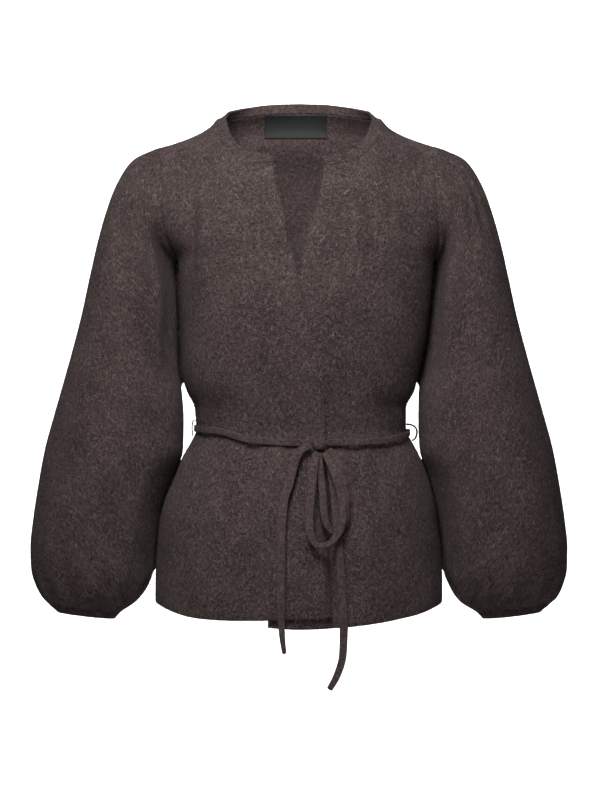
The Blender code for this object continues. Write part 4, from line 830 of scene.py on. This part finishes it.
def hairTree():
    tree = bpy.data.node_groups.new("looseHair", "GeometryNodeTree")
    newSockets(tree, "INPUT", ("Geometry", "Geometry", None), ("Hairs per m2", "Float", 100000.0),
               ("Hair length", "Float", 0.008), ("Hair width", "Float", 0.0003), ("Lift", "Float", 0.2),
               ("Grain", "Float", 0.4), ("Seed", "Int", 1), ("Material", "Material", None))
    newSockets(tree, "OUTPUT", ("Geometry", "Geometry", None))
    given = newNode(tree, "NodeGroupInput").outputs

    def calc(operation, *values):
        return mathNode(tree, operation, *values)

    def vector(operation, values):
        return newNode(tree, "ShaderNodeVectorMath", values, operation=operation).outputs[0]

    def attribute(name, kind):
        return newNode(tree, "GeometryNodeInputNamedAttribute", {"Name": name},
                       data_type=kind).outputs["Attribute"]

    def seedPlus(step):
        return newNode(tree, "FunctionNodeIntegerMath", {0: given["Seed"], 1: step}, operation="ADD").outputs[0]

    def chance(low, high, step):
        return newNode(tree, "FunctionNodeRandomValue", {2: low, 3: high, "Seed": seedPlus(step)},
                       data_type="FLOAT").outputs[1]

    # one hair: a narrow strip along Z, bowed over, bent left, right or straight
    variants = newNode(tree, "GeometryNodeJoinGeometry")
    for sway in hairForm["sways"]:
        grid = newNode(tree, "GeometryNodeMeshGrid",
                       {"Vertices X": 2, "Vertices Y": 3, "Size X": 1.0, "Size Y": 1.0})
        place = newNode(tree, "GeometryNodeInputPosition").outputs[0]
        split = newNode(tree, "ShaderNodeSeparateXYZ", {0: place}).outputs
        t = calc("ADD", split["Y"], 0.5)
        square = calc("MULTIPLY", t, t)
        reach = calc("MULTIPLY", square, given["Hair length"])
        taper = calc("MULTIPLY_ADD", square, hairForm["taper"], 1.0)
        wide = calc("MULTIPLY", calc("MULTIPLY", split["X"], taper), given["Hair width"])
        spot = newNode(tree, "ShaderNodeCombineXYZ", {
            "X": calc("MULTIPLY_ADD", reach, sway, wide), "Y": calc("MULTIPLY", reach, hairForm["bow"]),
            "Z": calc("MULTIPLY", t, given["Hair length"]),
        })
        move = newNode(tree, "GeometryNodeSetPosition",
                       {"Geometry": grid.outputs["Mesh"], "Position": spot.outputs[0]})
        pack = newNode(tree, "GeometryNodeGeometryToInstance", {"Geometry": move.outputs["Geometry"]})
        tree.links.new(pack.outputs["Instances"], variants.inputs["Geometry"])

    density = calc("MULTIPLY", attribute("pile", "FLOAT"), given["Hairs per m2"])
    scatter = newNode(tree, "GeometryNodeDistributePointsOnFaces",
                      {"Mesh": given["Geometry"], "Density": density, "Seed": given["Seed"]},
                      distribute_method="RANDOM")
    normal = newNode(tree, "GeometryNodeCaptureAttribute", domain="POINT")
    normal.capture_items.new("VECTOR", "out")
    fillInputs(tree, normal, {"Geometry": scatter.outputs["Points"], 1: scatter.outputs["Normal"]})
    out = normal.outputs[1]

    # every hair lies nearly flat, more often down or up the cloth than across it
    random = newNode(tree, "FunctionNodeRandomValue",
                     {0: (-1.0, -1.0, -1.0), 1: (1.0, 1.0, 1.0), "Seed": seedPlus(3)},
                     data_type="FLOAT_VECTOR").outputs[0]
    flat = vector("SUBTRACT", {0: random, 1: vector("PROJECT", {0: random, 1: out})})
    lengthwise = calc("MULTIPLY", chance(-1.0, 1.0, 13), given["Grain"])
    brushed = vector("SCALE", {0: attribute("grain", "FLOAT_VECTOR"), "Scale": lengthwise})
    lie = vector("ADD", {0: vector("NORMALIZE", {0: flat}), 1: brushed})
    rise = calc("MULTIPLY", chance(*hairForm["rises"], 5), given["Lift"])
    aim = vector("ADD", {0: vector("NORMALIZE", {0: lie}), 1: vector("SCALE", {0: out, "Scale": rise})})
    alignZ = newNode(tree, "FunctionNodeAlignRotationToVector", {"Vector": aim}, axis="Z")
    alignY = newNode(tree, "FunctionNodeAlignRotationToVector",
                     {"Rotation": alignZ.outputs["Rotation"], "Vector": out}, axis="Y", pivot_axis="Z")
    pick = newNode(tree, "FunctionNodeRandomValue", {4: 0, 5: 2, "Seed": seedPlus(7)}, data_type="INT")
    size = newNode(tree, "ShaderNodeCombineXYZ", dict.fromkeys("XYZ", chance(*hairForm["sizes"], 9)))
    place = newNode(tree, "GeometryNodeInstanceOnPoints", {
        "Points": normal.outputs["Geometry"], "Instance": variants.outputs["Geometry"], "Pick Instance": True,
        "Instance Index": pick.outputs[2], "Rotation": alignY.outputs["Rotation"], "Scale": size.outputs[0],
    })
    tone = newNode(tree, "GeometryNodeStoreNamedAttribute",
                   {"Geometry": place.outputs["Instances"], "Name": "tone", "Value": chance(0.0, 1.0, 11)},
                   data_type="FLOAT", domain="INSTANCE")
    real = newNode(tree, "GeometryNodeRealizeInstances", {"Geometry": tone.outputs["Geometry"]})
    paint = newNode(tree, "GeometryNodeSetMaterial",
                    {"Geometry": real.outputs["Geometry"], "Material": given["Material"]})
    newNode(tree, "NodeGroupOutput", {"Geometry": paint.outputs["Geometry"]})
    return tree


hairNodes = hairTree()
socketIds = {item.name: item.identifier for item in hairNodes.interface.items_tree if item.in_out == "INPUT"}


def growHair(piece, name, layers):
    # each layer is a dictionary of the tree's inputs; the layers become one mesh
    work = bmesh.new()
    for layer in layers:
        carrier = bpy.data.objects.new(name + "Layer", piece.data)
        bpy.context.scene.collection.objects.link(carrier)
        grow = carrier.modifiers.new("hair", "NODES")
        grow.node_group = hairNodes
        for label, value in layer.items():
            grow[socketIds[label]] = value
        grow[socketIds["Material"]] = looseHair
        graph = bpy.context.evaluated_depsgraph_get()
        made = bpy.data.meshes.new_from_object(carrier.evaluated_get(graph), preserve_all_data_layers=True,
                                               depsgraph=graph)
        work.from_mesh(made)
        bpy.data.objects.remove(carrier)
        bpy.data.meshes.remove(made)
    mesh = bpy.data.meshes.new(name)
    work.to_mesh(mesh)
    work.free()
    mesh.materials.append(looseHair)
    hair = bpy.data.objects.new(name, mesh)
    bpy.context.scene.collection.objects.link(hair)
    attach(hair, "root")
    print(name, len(mesh.polygons) * 2, "triangles")
    return hair


def sewOn(piece, node, material):
    piece.data.materials.clear()
    piece.data.materials.append(material)
    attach(piece, "root")
    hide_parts(node)


def dress(piece, node, wool, layers):
    # finish one knit piece: loose hair, material, and what it is to the frame
    hair = growHair(piece, node + "_hair", layers)
    sewOn(piece, node, wool)
    print(node, "dressed")


overPoints = frontGrid(-1, overEdge, overHem, over=True)
underPoints = frontGrid(1, underEdge, underHem, over=False)
backPoints = backGrid()
sideRows = slice(0, fineBelow + 1)
backPoints[sideRows, 0] = overPoints[sideRows, 0]
backPoints[sideRows, -1] = underPoints[sideRows, 0]
backPoints[-1, : shoulderCount + 1] = overPoints[-1, : shoulderCount + 1]
backPoints[-1, -shoulderCount - 1:] = underPoints[-1, : shoulderCount + 1][::-1]
neckSeam = np.concatenate([
    overPoints[-1, shoulderCount:][::-1],
    backPoints[-1, shoulderCount + 1: -shoulderCount - 1],
    underPoints[-1, shoulderCount:],
])
bandPoints = bandGrid(neckSeam)
armRowsSlice = slice(fineBelow, None)
rightPoints, cuffStart = sleeveGrid(-1, overPoints[armRowsSlice, 0], backPoints[armRowsSlice, 0])
leftPoints, cuffStart = sleeveGrid(1, underPoints[armRowsSlice, 0], backPoints[armRowsSlice, -1])

panels = []
for group, points, closed in (
        ("body", overPoints, False), ("body", underPoints, False), ("body", backPoints, False),
        ("band", bandPoints, False), ("sleeve", rightPoints, True), ("sleeve", leftPoints, True)):
    centres = points.mean(axis=1, keepdims=True) if closed else None
    panels.append({"group": group, "points": points, "normals": gridNormals(points, closed, centres),
                   "border": borderOf(points, closed)})
shareOffsets(panels)
outers = [panel["points"] for panel in panels]
inners = [panel["points"] - panel["offset"] for panel in panels]

frontSeams, frontFree = ("lastRow", "firstColumn"), ("firstRow", "lastColumn")
backSeams, bandFree = ("lastRow", "firstColumn", "lastColumn"), ("lastRow", "firstColumn", "lastColumn")
insides = {"front": 0.15, "back": 0.0, "neckBand": 0.8, "cuff": 0.3}
backBrushedFrom = -0.24
frontRight, frontLeft, backPanel, neckBand = (
    clothWall(name, *drawBack(outers[i], inners[i], seams, False), False, inside, free, brushedFrom)
    for i, (name, seams, inside, free, brushedFrom) in enumerate((
        ("frontRight", frontSeams, insides["front"], frontFree, None),
        ("frontLeft", frontSeams, insides["front"], frontFree, None),
        ("backPanel", backSeams, insides["back"], ("firstRow",), backBrushedFrom),
        ("neckBand", ("firstRow",), insides["neckBand"], bandFree, None),
    )))
sleevePieces = {}
for side, outer, inner in (("right", outers[4], inners[4]), ("left", outers[5], inners[5])):
    upper = drawBack(outer[:cuffStart + 1], inner[:cuffStart + 1], ("firstRow", "lastRow"), True)
    lower = drawBack(outer[cuffStart:], inner[cuffStart:], ("firstRow",), True)
    sleevePieces[side] = (clothWall(side + "Sleeve", *upper, True),
                          clothWall(side + "Cuff", *lower, True, insides["cuff"], ("lastRow",)))
print("panels made")


def surfaceOf(*pieces):
    verts, faces = [], []
    for piece in pieces:
        skip = len(verts)
        verts += [vert.co.copy() for vert in piece.data.vertices]
        faces += [tuple(skip + i for i in face.vertices) for face in piece.data.polygons]
    return BVHTree.FromPolygons(verts, faces)


bodySurface = surfaceOf(frontRight, frontLeft, backPanel)


belt = {
    "width": 0.0086, "thickness": 0.0026, "clearance": 0.0002, "segments": 220,
    "startTurn": 18.0, "endTurn": 368.95, "seamMiss": 0.4,
    "tieThickness": 0.0036, "tieSegments": 90, "hangFrom": -0.612, "leanStep": 0.008, "rimSwell": 0.16,
}
beltHeights = makeTable(
    "turn z", (-90, -0.3930), (-57, -0.3956), (-29, -0.4080), (0, -0.4110), (28, -0.4105), (50, -0.4090),
    (90, -0.3985), (180, -0.399), (270, -0.393),
)
leftTail = makeTable(
    "x z off width",
    (0.0174, -0.4145, 0.0076, 0.0085), (0.006, -0.4172, 0.0084, 0.01), (-0.0026, -0.427, 0.0064, 0.011),
    (-0.008, -0.445, 0.004, 0.011), (-0.0128, -0.465, 0.0034, 0.011), (-0.0179, -0.478, 0.0034, 0.011),
    (-0.0217, -0.5131, 0.0034, 0.011), (-0.023, -0.565, 0.0034, 0.011), (-0.0229, -0.6154, 0.0036, 0.0108),
    (-0.0222, -0.642, 0.0046, 0.0085), (-0.0205, -0.662, 0.005, 0.007), (-0.018, -0.679, 0.005, 0.0055),
)
rightTail = makeTable(
    "x z off width",
    (0.032, -0.4208, 0.0038, 0.008), (0.04, -0.44, 0.0032, 0.0105), (0.0452, -0.475, 0.0032, 0.011),
    (0.0492, -0.527, 0.0032, 0.011), (0.0522, -0.564, 0.0032, 0.011), (0.0548, -0.602, 0.0034, 0.011),
    (0.057, -0.641, 0.004, 0.0108), (0.0558, -0.679, 0.0044, 0.01), (0.0494, -0.703, 0.0044, 0.0095),
    (0.0370, -0.7250, 0.0044, 0.0075),
)
backLoop = makeTable(
    "x z off width",
    (0.0256, -0.4212, 0.004, 0.007), (0.0268, -0.444, 0.0076, 0.009), (0.0298, -0.47, 0.0086, 0.0096),
    (0.031, -0.493, 0.0092, 0.0096), (0.035, -0.514, 0.0092, 0.009), (0.045, -0.524, 0.0092, 0.008),
    (0.055, -0.5185, 0.0092, 0.008), (0.0596, -0.504, 0.0092, 0.009), (0.0592, -0.482, 0.0092, 0.0096),
    (0.056, -0.459, 0.0094, 0.0096), (0.049, -0.435, 0.0096, 0.0096), (0.0364, -0.4168, 0.0072, 0.008),
)
frontLoop = makeTable(
    "x z off width",
    (0.0226, -0.4196, 0.008, 0.008), (0.019, -0.44, 0.014, 0.0105), (0.016, -0.47, 0.0134, 0.011),
    (0.013, -0.498, 0.0134, 0.011), (0.0132, -0.519, 0.0136, 0.0105), (0.0182, -0.535, 0.014, 0.009),
    (0.0268, -0.541, 0.0144, 0.008), (0.039, -0.5375, 0.0148, 0.008), (0.0495, -0.526, 0.015, 0.0095),
    (0.0556, -0.505, 0.015, 0.011), (0.0548, -0.482, 0.015, 0.011), (0.049, -0.46, 0.015, 0.011),
    (0.0412, -0.439, 0.015, 0.0105), (0.0308, -0.4202, 0.009, 0.0075),
)


def stripSection(count=14):
    # flat tube with slightly fuller rims
    section = []
    for i in range(count):
        turn = 2 * math.pi * i / count
        over = math.copysign(abs(math.cos(turn)) ** 0.75, math.cos(turn)) / 2
        up = math.copysign(abs(math.sin(turn)) ** 0.6, math.sin(turn)) / 2
        up *= 1 - belt["rimSwell"] + belt["rimSwell"] * min(1.0, (2 * abs(over)) ** 2 * 1.6)
        section.append((over, up))
    return section


def knitStrip(name, path, facing, widths, thickness, pile=0.5):
    along = unit(np.gradient(path, axis=0))
    out = unit(facing - along * np.sum(facing * along, axis=-1, keepdims=True))
    across = np.cross(along, out)
    section = stripSection()
    corners = len(section)
    # the end rings close in to a rounded end
    count = len(path)
    ends = [(0, 0.35), (0, 0.8), *((i, 1.0) for i in range(1, count - 1)), (count - 1, 0.8), (count - 1, 0.35)]
    run = np.concatenate([[0.0], np.cumsum(np.linalg.norm(np.diff(path, axis=0), axis=-1))])
    verts, uvs, grain = [], [], []
    for order, (i, close) in enumerate(ends):
        spot = path[i]
        if order in (1, len(ends) - 2):
            spot = spot + along[i] * (0.0004 if order == 1 else -0.0004)
        for corner, (over, up) in enumerate(section):
            verts.append(spot + across[i] * over * widths[i] * close + out[i] * up * thickness * close)
            uvs.append((corner * 2.2 * widths[i] / corners, run[i]))
            grain.append(along[i])
    faces = []
    for row in range(len(ends) - 1):
        for corner in range(corners):
            after = (corner + 1) % corners
            low, high = row * corners, (row + 1) * corners
            faces.append((low + corner, low + after, high + after, high + corner))
    faces.append(tuple(reversed(range(corners))))
    faces.append(tuple(range((len(ends) - 1) * corners, len(ends) * corners)))
    return addMesh(name, verts, faces, uvs, np.full(len(verts), pile), grain)


def frontOf(surface, x, z, width):
    level = max(z, belt["hangFrom"])
    found = []
    for side in (-0.5, 0.0, 0.5):
        for rise in (-0.5, 0.0, 0.5):
            start = Vector((x + side * width, -1.0, level + rise * width))
            hit = surface.ray_cast(start, Vector((0.0, 1.0, 0.0)))[0]
            if hit is not None:
                found.append(hit.y)
    return min(found)


def soften(values, passes):
    for _ in range(passes):
        ends = np.concatenate([values[:1], values, values[-1:]])
        values = (ends[:-2] + 2 * ends[1:-1] + ends[2:]) / 4
    return values


def highest(values, reach):
    return np.array([values[max(0, i - reach): i + reach + 1].max() for i in range(len(values))])


def tieStrip(name, table):
    at = np.linspace(0, len(table["x"]) - 1, belt["tieSegments"] + 1)
    x, z, off, width = (readByRow(table, part, at) for part in ("x", "z", "off", "width"))
    x, z = soften(x, 6), soften(z, 6)
    ahead = np.array([-frontOf(bodySurface, *spot) for spot in zip(x, z, width)])
    y = -(soften(highest(ahead, 3), 8) + off)
    step = belt["leanStep"]
    level = np.maximum(z, belt["hangFrom"])
    lean = np.array([frontOf(bodySurface, a, b + step, step) - frontOf(bodySurface, a, b - step, step)
                     for a, b in zip(x, level)])
    lean = np.where(z < belt["hangFrom"], 0.0, soften(lean, 8) / (2 * step))
    facing = unit(np.stack([np.zeros(len(at)), -np.ones(len(at)), lean], axis=-1))
    return knitStrip(name, np.stack([x, y, z], axis=-1), facing, width, belt["tieThickness"])


def reachOf(surface, turn, z):
    found = []
    for beside in (-belt["seamMiss"], belt["seamMiss"]):
        angle = math.radians(turn + beside)
        way = Vector((math.sin(angle), -math.cos(angle), 0.0))
        hit = surface.ray_cast(Vector((0.0, 0.0, z)) + way, -way)[0]
        if hit is not None:
            found.append(Vector((hit.x, hit.y)).length)
    return max(found)


def beltRound():
    turns = np.linspace(belt["startTurn"], belt["endTurn"], belt["segments"] + 1)
    heights = readTable(beltHeights, "turn", "z", np.where(turns > 270, turns - 360, turns))
    radii = np.array([max(reachOf(bodySurface, turn, z + rise * belt["width"]) for rise in (-0.5, 0.0, 0.5))
                      for turn, z in zip(turns, heights)])
    radii = soften(highest(radii, 4), 6) + belt["clearance"] + belt["thickness"] / 2
    angle = np.radians(turns)
    path = np.stack([radii * np.sin(angle), -radii * np.cos(angle), heights], axis=-1)
    facing = np.cross(unit(np.gradient(path, axis=0)), np.array([0.0, 0.0, 1.0]))
    return knitStrip("beltWaist", path, facing, np.full(len(path), belt["width"]), belt["thickness"])


beltWaist = beltRound()
tails = {
    "tail_left": tieStrip("tailLeft", leftTail),
    "tail_right": tieStrip("tailRight", rightTail),
    "bow_loop_back": tieStrip("bowLoopBack", backLoop),
    "bow_loop_front": tieStrip("bowLoopFront", frontLoop),
}

knotForm = {"rings": 26, "turns": 34, "squareness": 0.72, "shrink": 0.985, "wrapRows": 3, "wrapDepth": 0.0007}


def tieKnot():
    # the strip wrapped round itself: a rounded pad with the wraps' edges pressed in
    low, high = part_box("knot")
    middle = np.array((low + high) / 2)
    half = np.array((high - low) / 2) * knotForm["shrink"]

    def bulge(value):
        return math.copysign(abs(value) ** knotForm["squareness"], value)

    verts, uvs, grain = [], [], []
    rings, turns = knotForm["rings"], knotForm["turns"]
    for ring in range(rings + 1):
        tilt = math.pi * (0.02 + 0.96 * ring / rings)
        for step in range(turns):
            turn = 2 * math.pi * step / turns
            girth = bulge(math.sin(tilt))
            shape = np.array([girth * bulge(math.cos(turn)), girth * bulge(math.sin(turn)),
                              bulge(math.cos(tilt))])
            wrap = math.cos(knotForm["wrapRows"] * math.pi * (shape[0] * 0.9 + shape[2] * 0.35))
            verts.append(middle + shape * half - shape * knotForm["wrapDepth"] * (0.5 - 0.5 * wrap))
            uvs.append((step * 0.0012, ring * 0.0009))
            grain.append((0.3, 0.0, -0.95))
    faces = []
    for ring in range(rings):
        for step in range(turns):
            after = (step + 1) % turns
            low, high = ring * turns, (ring + 1) * turns
            faces.append((low + step, low + after, high + after, high + step))
    faces.append(tuple(reversed(range(turns))))
    faces.append(tuple(range(rings * turns, (rings + 1) * turns)))
    return addMesh("knotWrap", verts, faces, uvs, np.full(len(verts), 0.5), grain)


knotWrap = tieKnot()

# the loop on the wearer's left stands off the seam, the other lies flat on the belt
loopForm = {"width": 0.0046, "thickness": {-1: 0.0020, 1: 0.0032}, "halfHeight": 0.0105, "segments": 48,
            "squareness": {-1: 0.6, 1: 0.8}, "leastStand": {-1: 0.0022, 1: 0.0072}}
beltSurface = surfaceOf(beltWaist)


def beltLoop(name, side):
    turn = side * 90.0
    z = float(readTable(beltHeights, "turn", "z", turn))
    quarter = belt["width"] / 4
    overBelt = max(reachOf(beltSurface, turn, z + rise) for rise in (-quarter, 0.0, quarter))
    seats = [max(reachOf(bodySurface, turn, z + end + rise) for rise in (-0.0013, 0.0013))
             for end in (-loopForm["halfHeight"], loopForm["halfHeight"])]
    thickness = loopForm["thickness"][side]
    peak = max(overBelt + belt["clearance"] + thickness / 2, max(seats) + loopForm["leastStand"][side])
    path, facing = [], []
    for step in range(loopForm["segments"] + 1):
        angle = math.pi * step / loopForm["segments"]
        share = (1 + math.cos(angle)) / 2
        seat = seats[0] * (1 - share) + seats[1] * share + 0.0002
        stand = seat + (peak - seat) * math.sin(angle) ** loopForm["squareness"][side]
        path.append([side * stand, 0.0, z + loopForm["halfHeight"] * math.cos(angle)])
        facing.append([side * (0.2 + math.sin(angle)), 0.0, math.cos(angle)])
    widths = np.full(len(path), loopForm["width"])
    return knitStrip(name, np.array(path), np.array(facing), widths, thickness, 0.4)


loopRight = beltLoop("beltLoopRight", -1)
loopLeft = beltLoop("beltLoopLeft", 1)
print("belt made")


labelForm = {"middleX": -0.005, "halfWidth": 0.042, "top": 0.0288, "bottom": -0.0046, "thickness": 0.0009,
             "clearance": 0.0009, "columns": 60, "rows": 26, "fold": 0.0022, "warp": 620.0, "weft": 900.0,
             "dark": (0.0075, 0.0080, 0.0082, 1.0), "pale": (0.0200, 0.0215, 0.0220, 1.0)}


def labelMaterial():
    made, tree, shader = newMaterial("labelWeave")
    where = newNode(tree, "ShaderNodeUVMap", uv_map="clothMap").outputs["UV"]
    warp, weft = [newNode(tree, "ShaderNodeTexWave", {"Scale": scale, "Vector": where}, bands_direction=way)
                  for way, scale in (("X", labelForm["warp"]), ("Y", labelForm["weft"]))]
    weave = mathNode(tree, "MULTIPLY", warp.outputs["Fac"], weft.outputs["Fac"])
    level = mathNode(tree, "MULTIPLY_ADD", noiseNode(tree, where, 300.0, 2.0, 0.5), 0.4, weave)
    colour = colourRamp(tree, level, (0.0, labelForm["dark"]), (1.0, labelForm["pale"]))
    bump = newNode(tree, "ShaderNodeBump", {"Distance": 0.00012, "Height": weave})
    fillInputs(tree, shader, {"Base Color": colour, "Normal": bump.outputs["Normal"], "Roughness": 0.55,
                              "Sheen Weight": 0.1})
    return made


def wovenLabel():
    form = labelForm
    x = form["middleX"] + np.linspace(-form["halfWidth"], form["halfWidth"], form["columns"] + 1)
    z = np.linspace(form["bottom"], form["top"], form["rows"] + 1)
    gridX, gridZ = np.meshgrid(x, z)
    points = bodyPoint(placeOf(gridX, gridZ), gridZ, behind=True)
    inward = -gridNormals(points, False)
    rear = points + inward * (cloth["wall"] + form["clearance"])
    # both ends are folded under, so the label is thicker there
    fromEnd = form["halfWidth"] - np.abs(gridX - form["middleX"])
    swell = 0.35 * ease((form["fold"] * 2.2 - fromEnd) / form["fold"])
    face = rear + inward * (form["thickness"] * (0.75 + swell))[..., None]
    piece = clothWall("wovenLabel", rear, face, False)
    sewOn(piece, "label", labelMaterial())


wovenLabel()
print("label made")


pileLook = {"perM2": 190000.0, "length": 0.0068, "width": 0.00028, "lift": 0.20, "grain": 2.2}
flyLook = {"perM2": 9000.0, "length": 0.0100, "width": 0.00016, "lift": 0.85, "grain": 0.60}


def hairLayers(seed, density=1.0, scale=1.0):
    made = []
    for step, look in enumerate((pileLook, flyLook)):
        made.append({"Hairs per m2": look["perM2"] * density, "Hair length": look["length"] * scale,
                     "Hair width": look["width"], "Lift": look["lift"], "Grain": look["grain"],
                     "Seed": seed + 50 * step})
    return made


sewOn(loopRight, "belt_loop_right", beltWool)
sewOn(loopLeft, "belt_loop_left", beltWool)
for piece, node, flat, held, rests, layers, area, others in (
        (backPanel, "back", (0.52, 0.68), "hung", ["front_right", "front_left"], hairLayers(11, 0.62), 0.29,
         [loopRight, loopLeft]),
        (frontRight, "front_right", (0.29, 0.66), "hung", ["back"], hairLayers(21, 1.25), 0.148, ()),
        (frontLeft, "front_left", (0.29, 0.67), "hung", ["back"], hairLayers(31, 1.25), 0.151, ()),
        (neckBand, "neckband", (0.51, 0.015), "stretched", ["back"], hairLayers(41, 1.0, 0.6), None, ())):
    dress(piece, node, bodyWool, layers)
for side, seed in (("right", 51), ("left", 61)):
    sleeve, cuff = sleevePieces[side]
    dress(sleeve, "sleeve_" + side, bodyWool, hairLayers(seed, 0.8))
    dress(cuff, "cuff_" + side, bodyWool,
          hairLayers(seed + 5, 1.0, 0.6))
for piece, node, length, held, rests, seed, scale in (
        (beltWaist, "belt_waist", 0.76, "stretched", "back", 71, 0.45),
        (tails["tail_left"], "tail_left", 0.27, "hung", "knot", 81, 0.45),
        (tails["tail_right"], "tail_right", 0.31, "hung", "knot", 82, 0.45),
        (tails["bow_loop_back"], "bow_loop_back", 0.22, "hung", "knot", 83, 0.45),
        (tails["bow_loop_front"], "bow_loop_front", 0.25, "hung", "knot", 84, 0.45),
        (knotWrap, "knot", 0.045, "folded", "belt_waist", 91, 0.4)):
    dress(piece, node, beltWool, hairLayers(seed, 1.2, scale))


studio = {"floorZ": -1.6, "wallY": 5.8, "curve": 1.3, "halfWidth": 1.8, "near": -3.0, "height": 1.6,
          "roomLight": 0.07, "cameraY": -3.5, "pixel": 0.00132, "pictureHeight": 800, "filmWidth": 36.0}


def backdrop():
    # floor that curves up into a wall
    profile = [(studio["near"], studio["floorZ"])]
    for step in range(17):
        turn = math.pi / 2 * step / 16
        profile.append((studio["wallY"] - studio["curve"] + studio["curve"] * math.sin(turn),
                        studio["floorZ"] + studio["curve"] * (1 - math.cos(turn))))
    profile.append((studio["wallY"], studio["height"]))
    verts = [(side * studio["halfWidth"], y, z) for y, z in profile for side in (-1, 1)]
    faces = [(2 * i, 2 * i + 1, 2 * i + 3, 2 * i + 2) for i in range(len(profile) - 1)]
    mesh = bpy.data.meshes.new("backdrop")
    mesh.from_pydata(verts, [], faces)
    mesh.shade_smooth()
    paper, tree, shader = newMaterial("paper")
    fillInputs(tree, shader, {"Base Color": (1.0, 1.0, 1.0, 1.0), "Roughness": 0.9})
    mesh.materials.append(paper)
    made = bpy.data.objects.new("backdrop", mesh)
    bpy.context.scene.collection.objects.link(made)


backdrop()

lamps = [
    # name, place, aim, size, power
    ("key", (-0.12, -0.98, 0.42), (0.0, 0.0, -0.2), 0.5, 12.6),
    ("high", (-0.15, -1.1, 1.45), (0.0, -0.05, -0.15), 0.9, 17.0),
    ("front", (-0.15, -4.0, 0.2), (0.0, 0.0, -0.3), 1.6, 10.0),
    ("paperLeft", (-1.6, 3.9, 0.7), (0.2, 5.8, -0.4), 0.9, 95.0),
    ("paperRight", (1.6, 3.9, 0.7), (-0.2, 5.8, -0.4), 0.9, 95.0),
]
for name, place, aim, size, power in lamps:
    data = bpy.data.lights.new(name, "AREA")
    data.shape = "SQUARE"
    data.size = size
    data.energy = power
    lamp = bpy.data.objects.new(name, data)
    lamp.location = place
    lamp.rotation_euler = (Vector(aim) - Vector(place)).to_track_quat("-Z", "Y").to_euler()
    bpy.context.scene.collection.objects.link(lamp)

world = bpy.data.worlds.new("room")
world.use_nodes = True
# the room lights the wool little, yet looks as pale as the paper from every side
seen = newNode(world.node_tree, "ShaderNodeLightPath").outputs["Is Camera Ray"]
strength = mathNode(world.node_tree, "MULTIPLY_ADD", seen, 1 - studio["roomLight"], studio["roomLight"])
fillInputs(world.node_tree, world.node_tree.nodes["Background"],
           {"Color": (1.0, 1.0, 1.0, 1.0), "Strength": strength})
bpy.context.scene.world = world
bpy.context.scene.view_settings.view_transform = "Standard"

cameraData = bpy.data.cameras.new("camera")
cameraData.sensor_width = studio["filmWidth"]
cameraData.lens = studio["filmWidth"] * -studio["cameraY"] / (studio["pictureHeight"] * studio["pixel"])
camera = bpy.data.objects.new("camera", cameraData)
camera.location = (0.0013, studio["cameraY"], -0.356)
camera.rotation_euler = (math.radians(90), 0.0, 0.0)
bpy.context.scene.collection.objects.link(camera)
bpy.context.scene.camera = camera

print("scene ready")
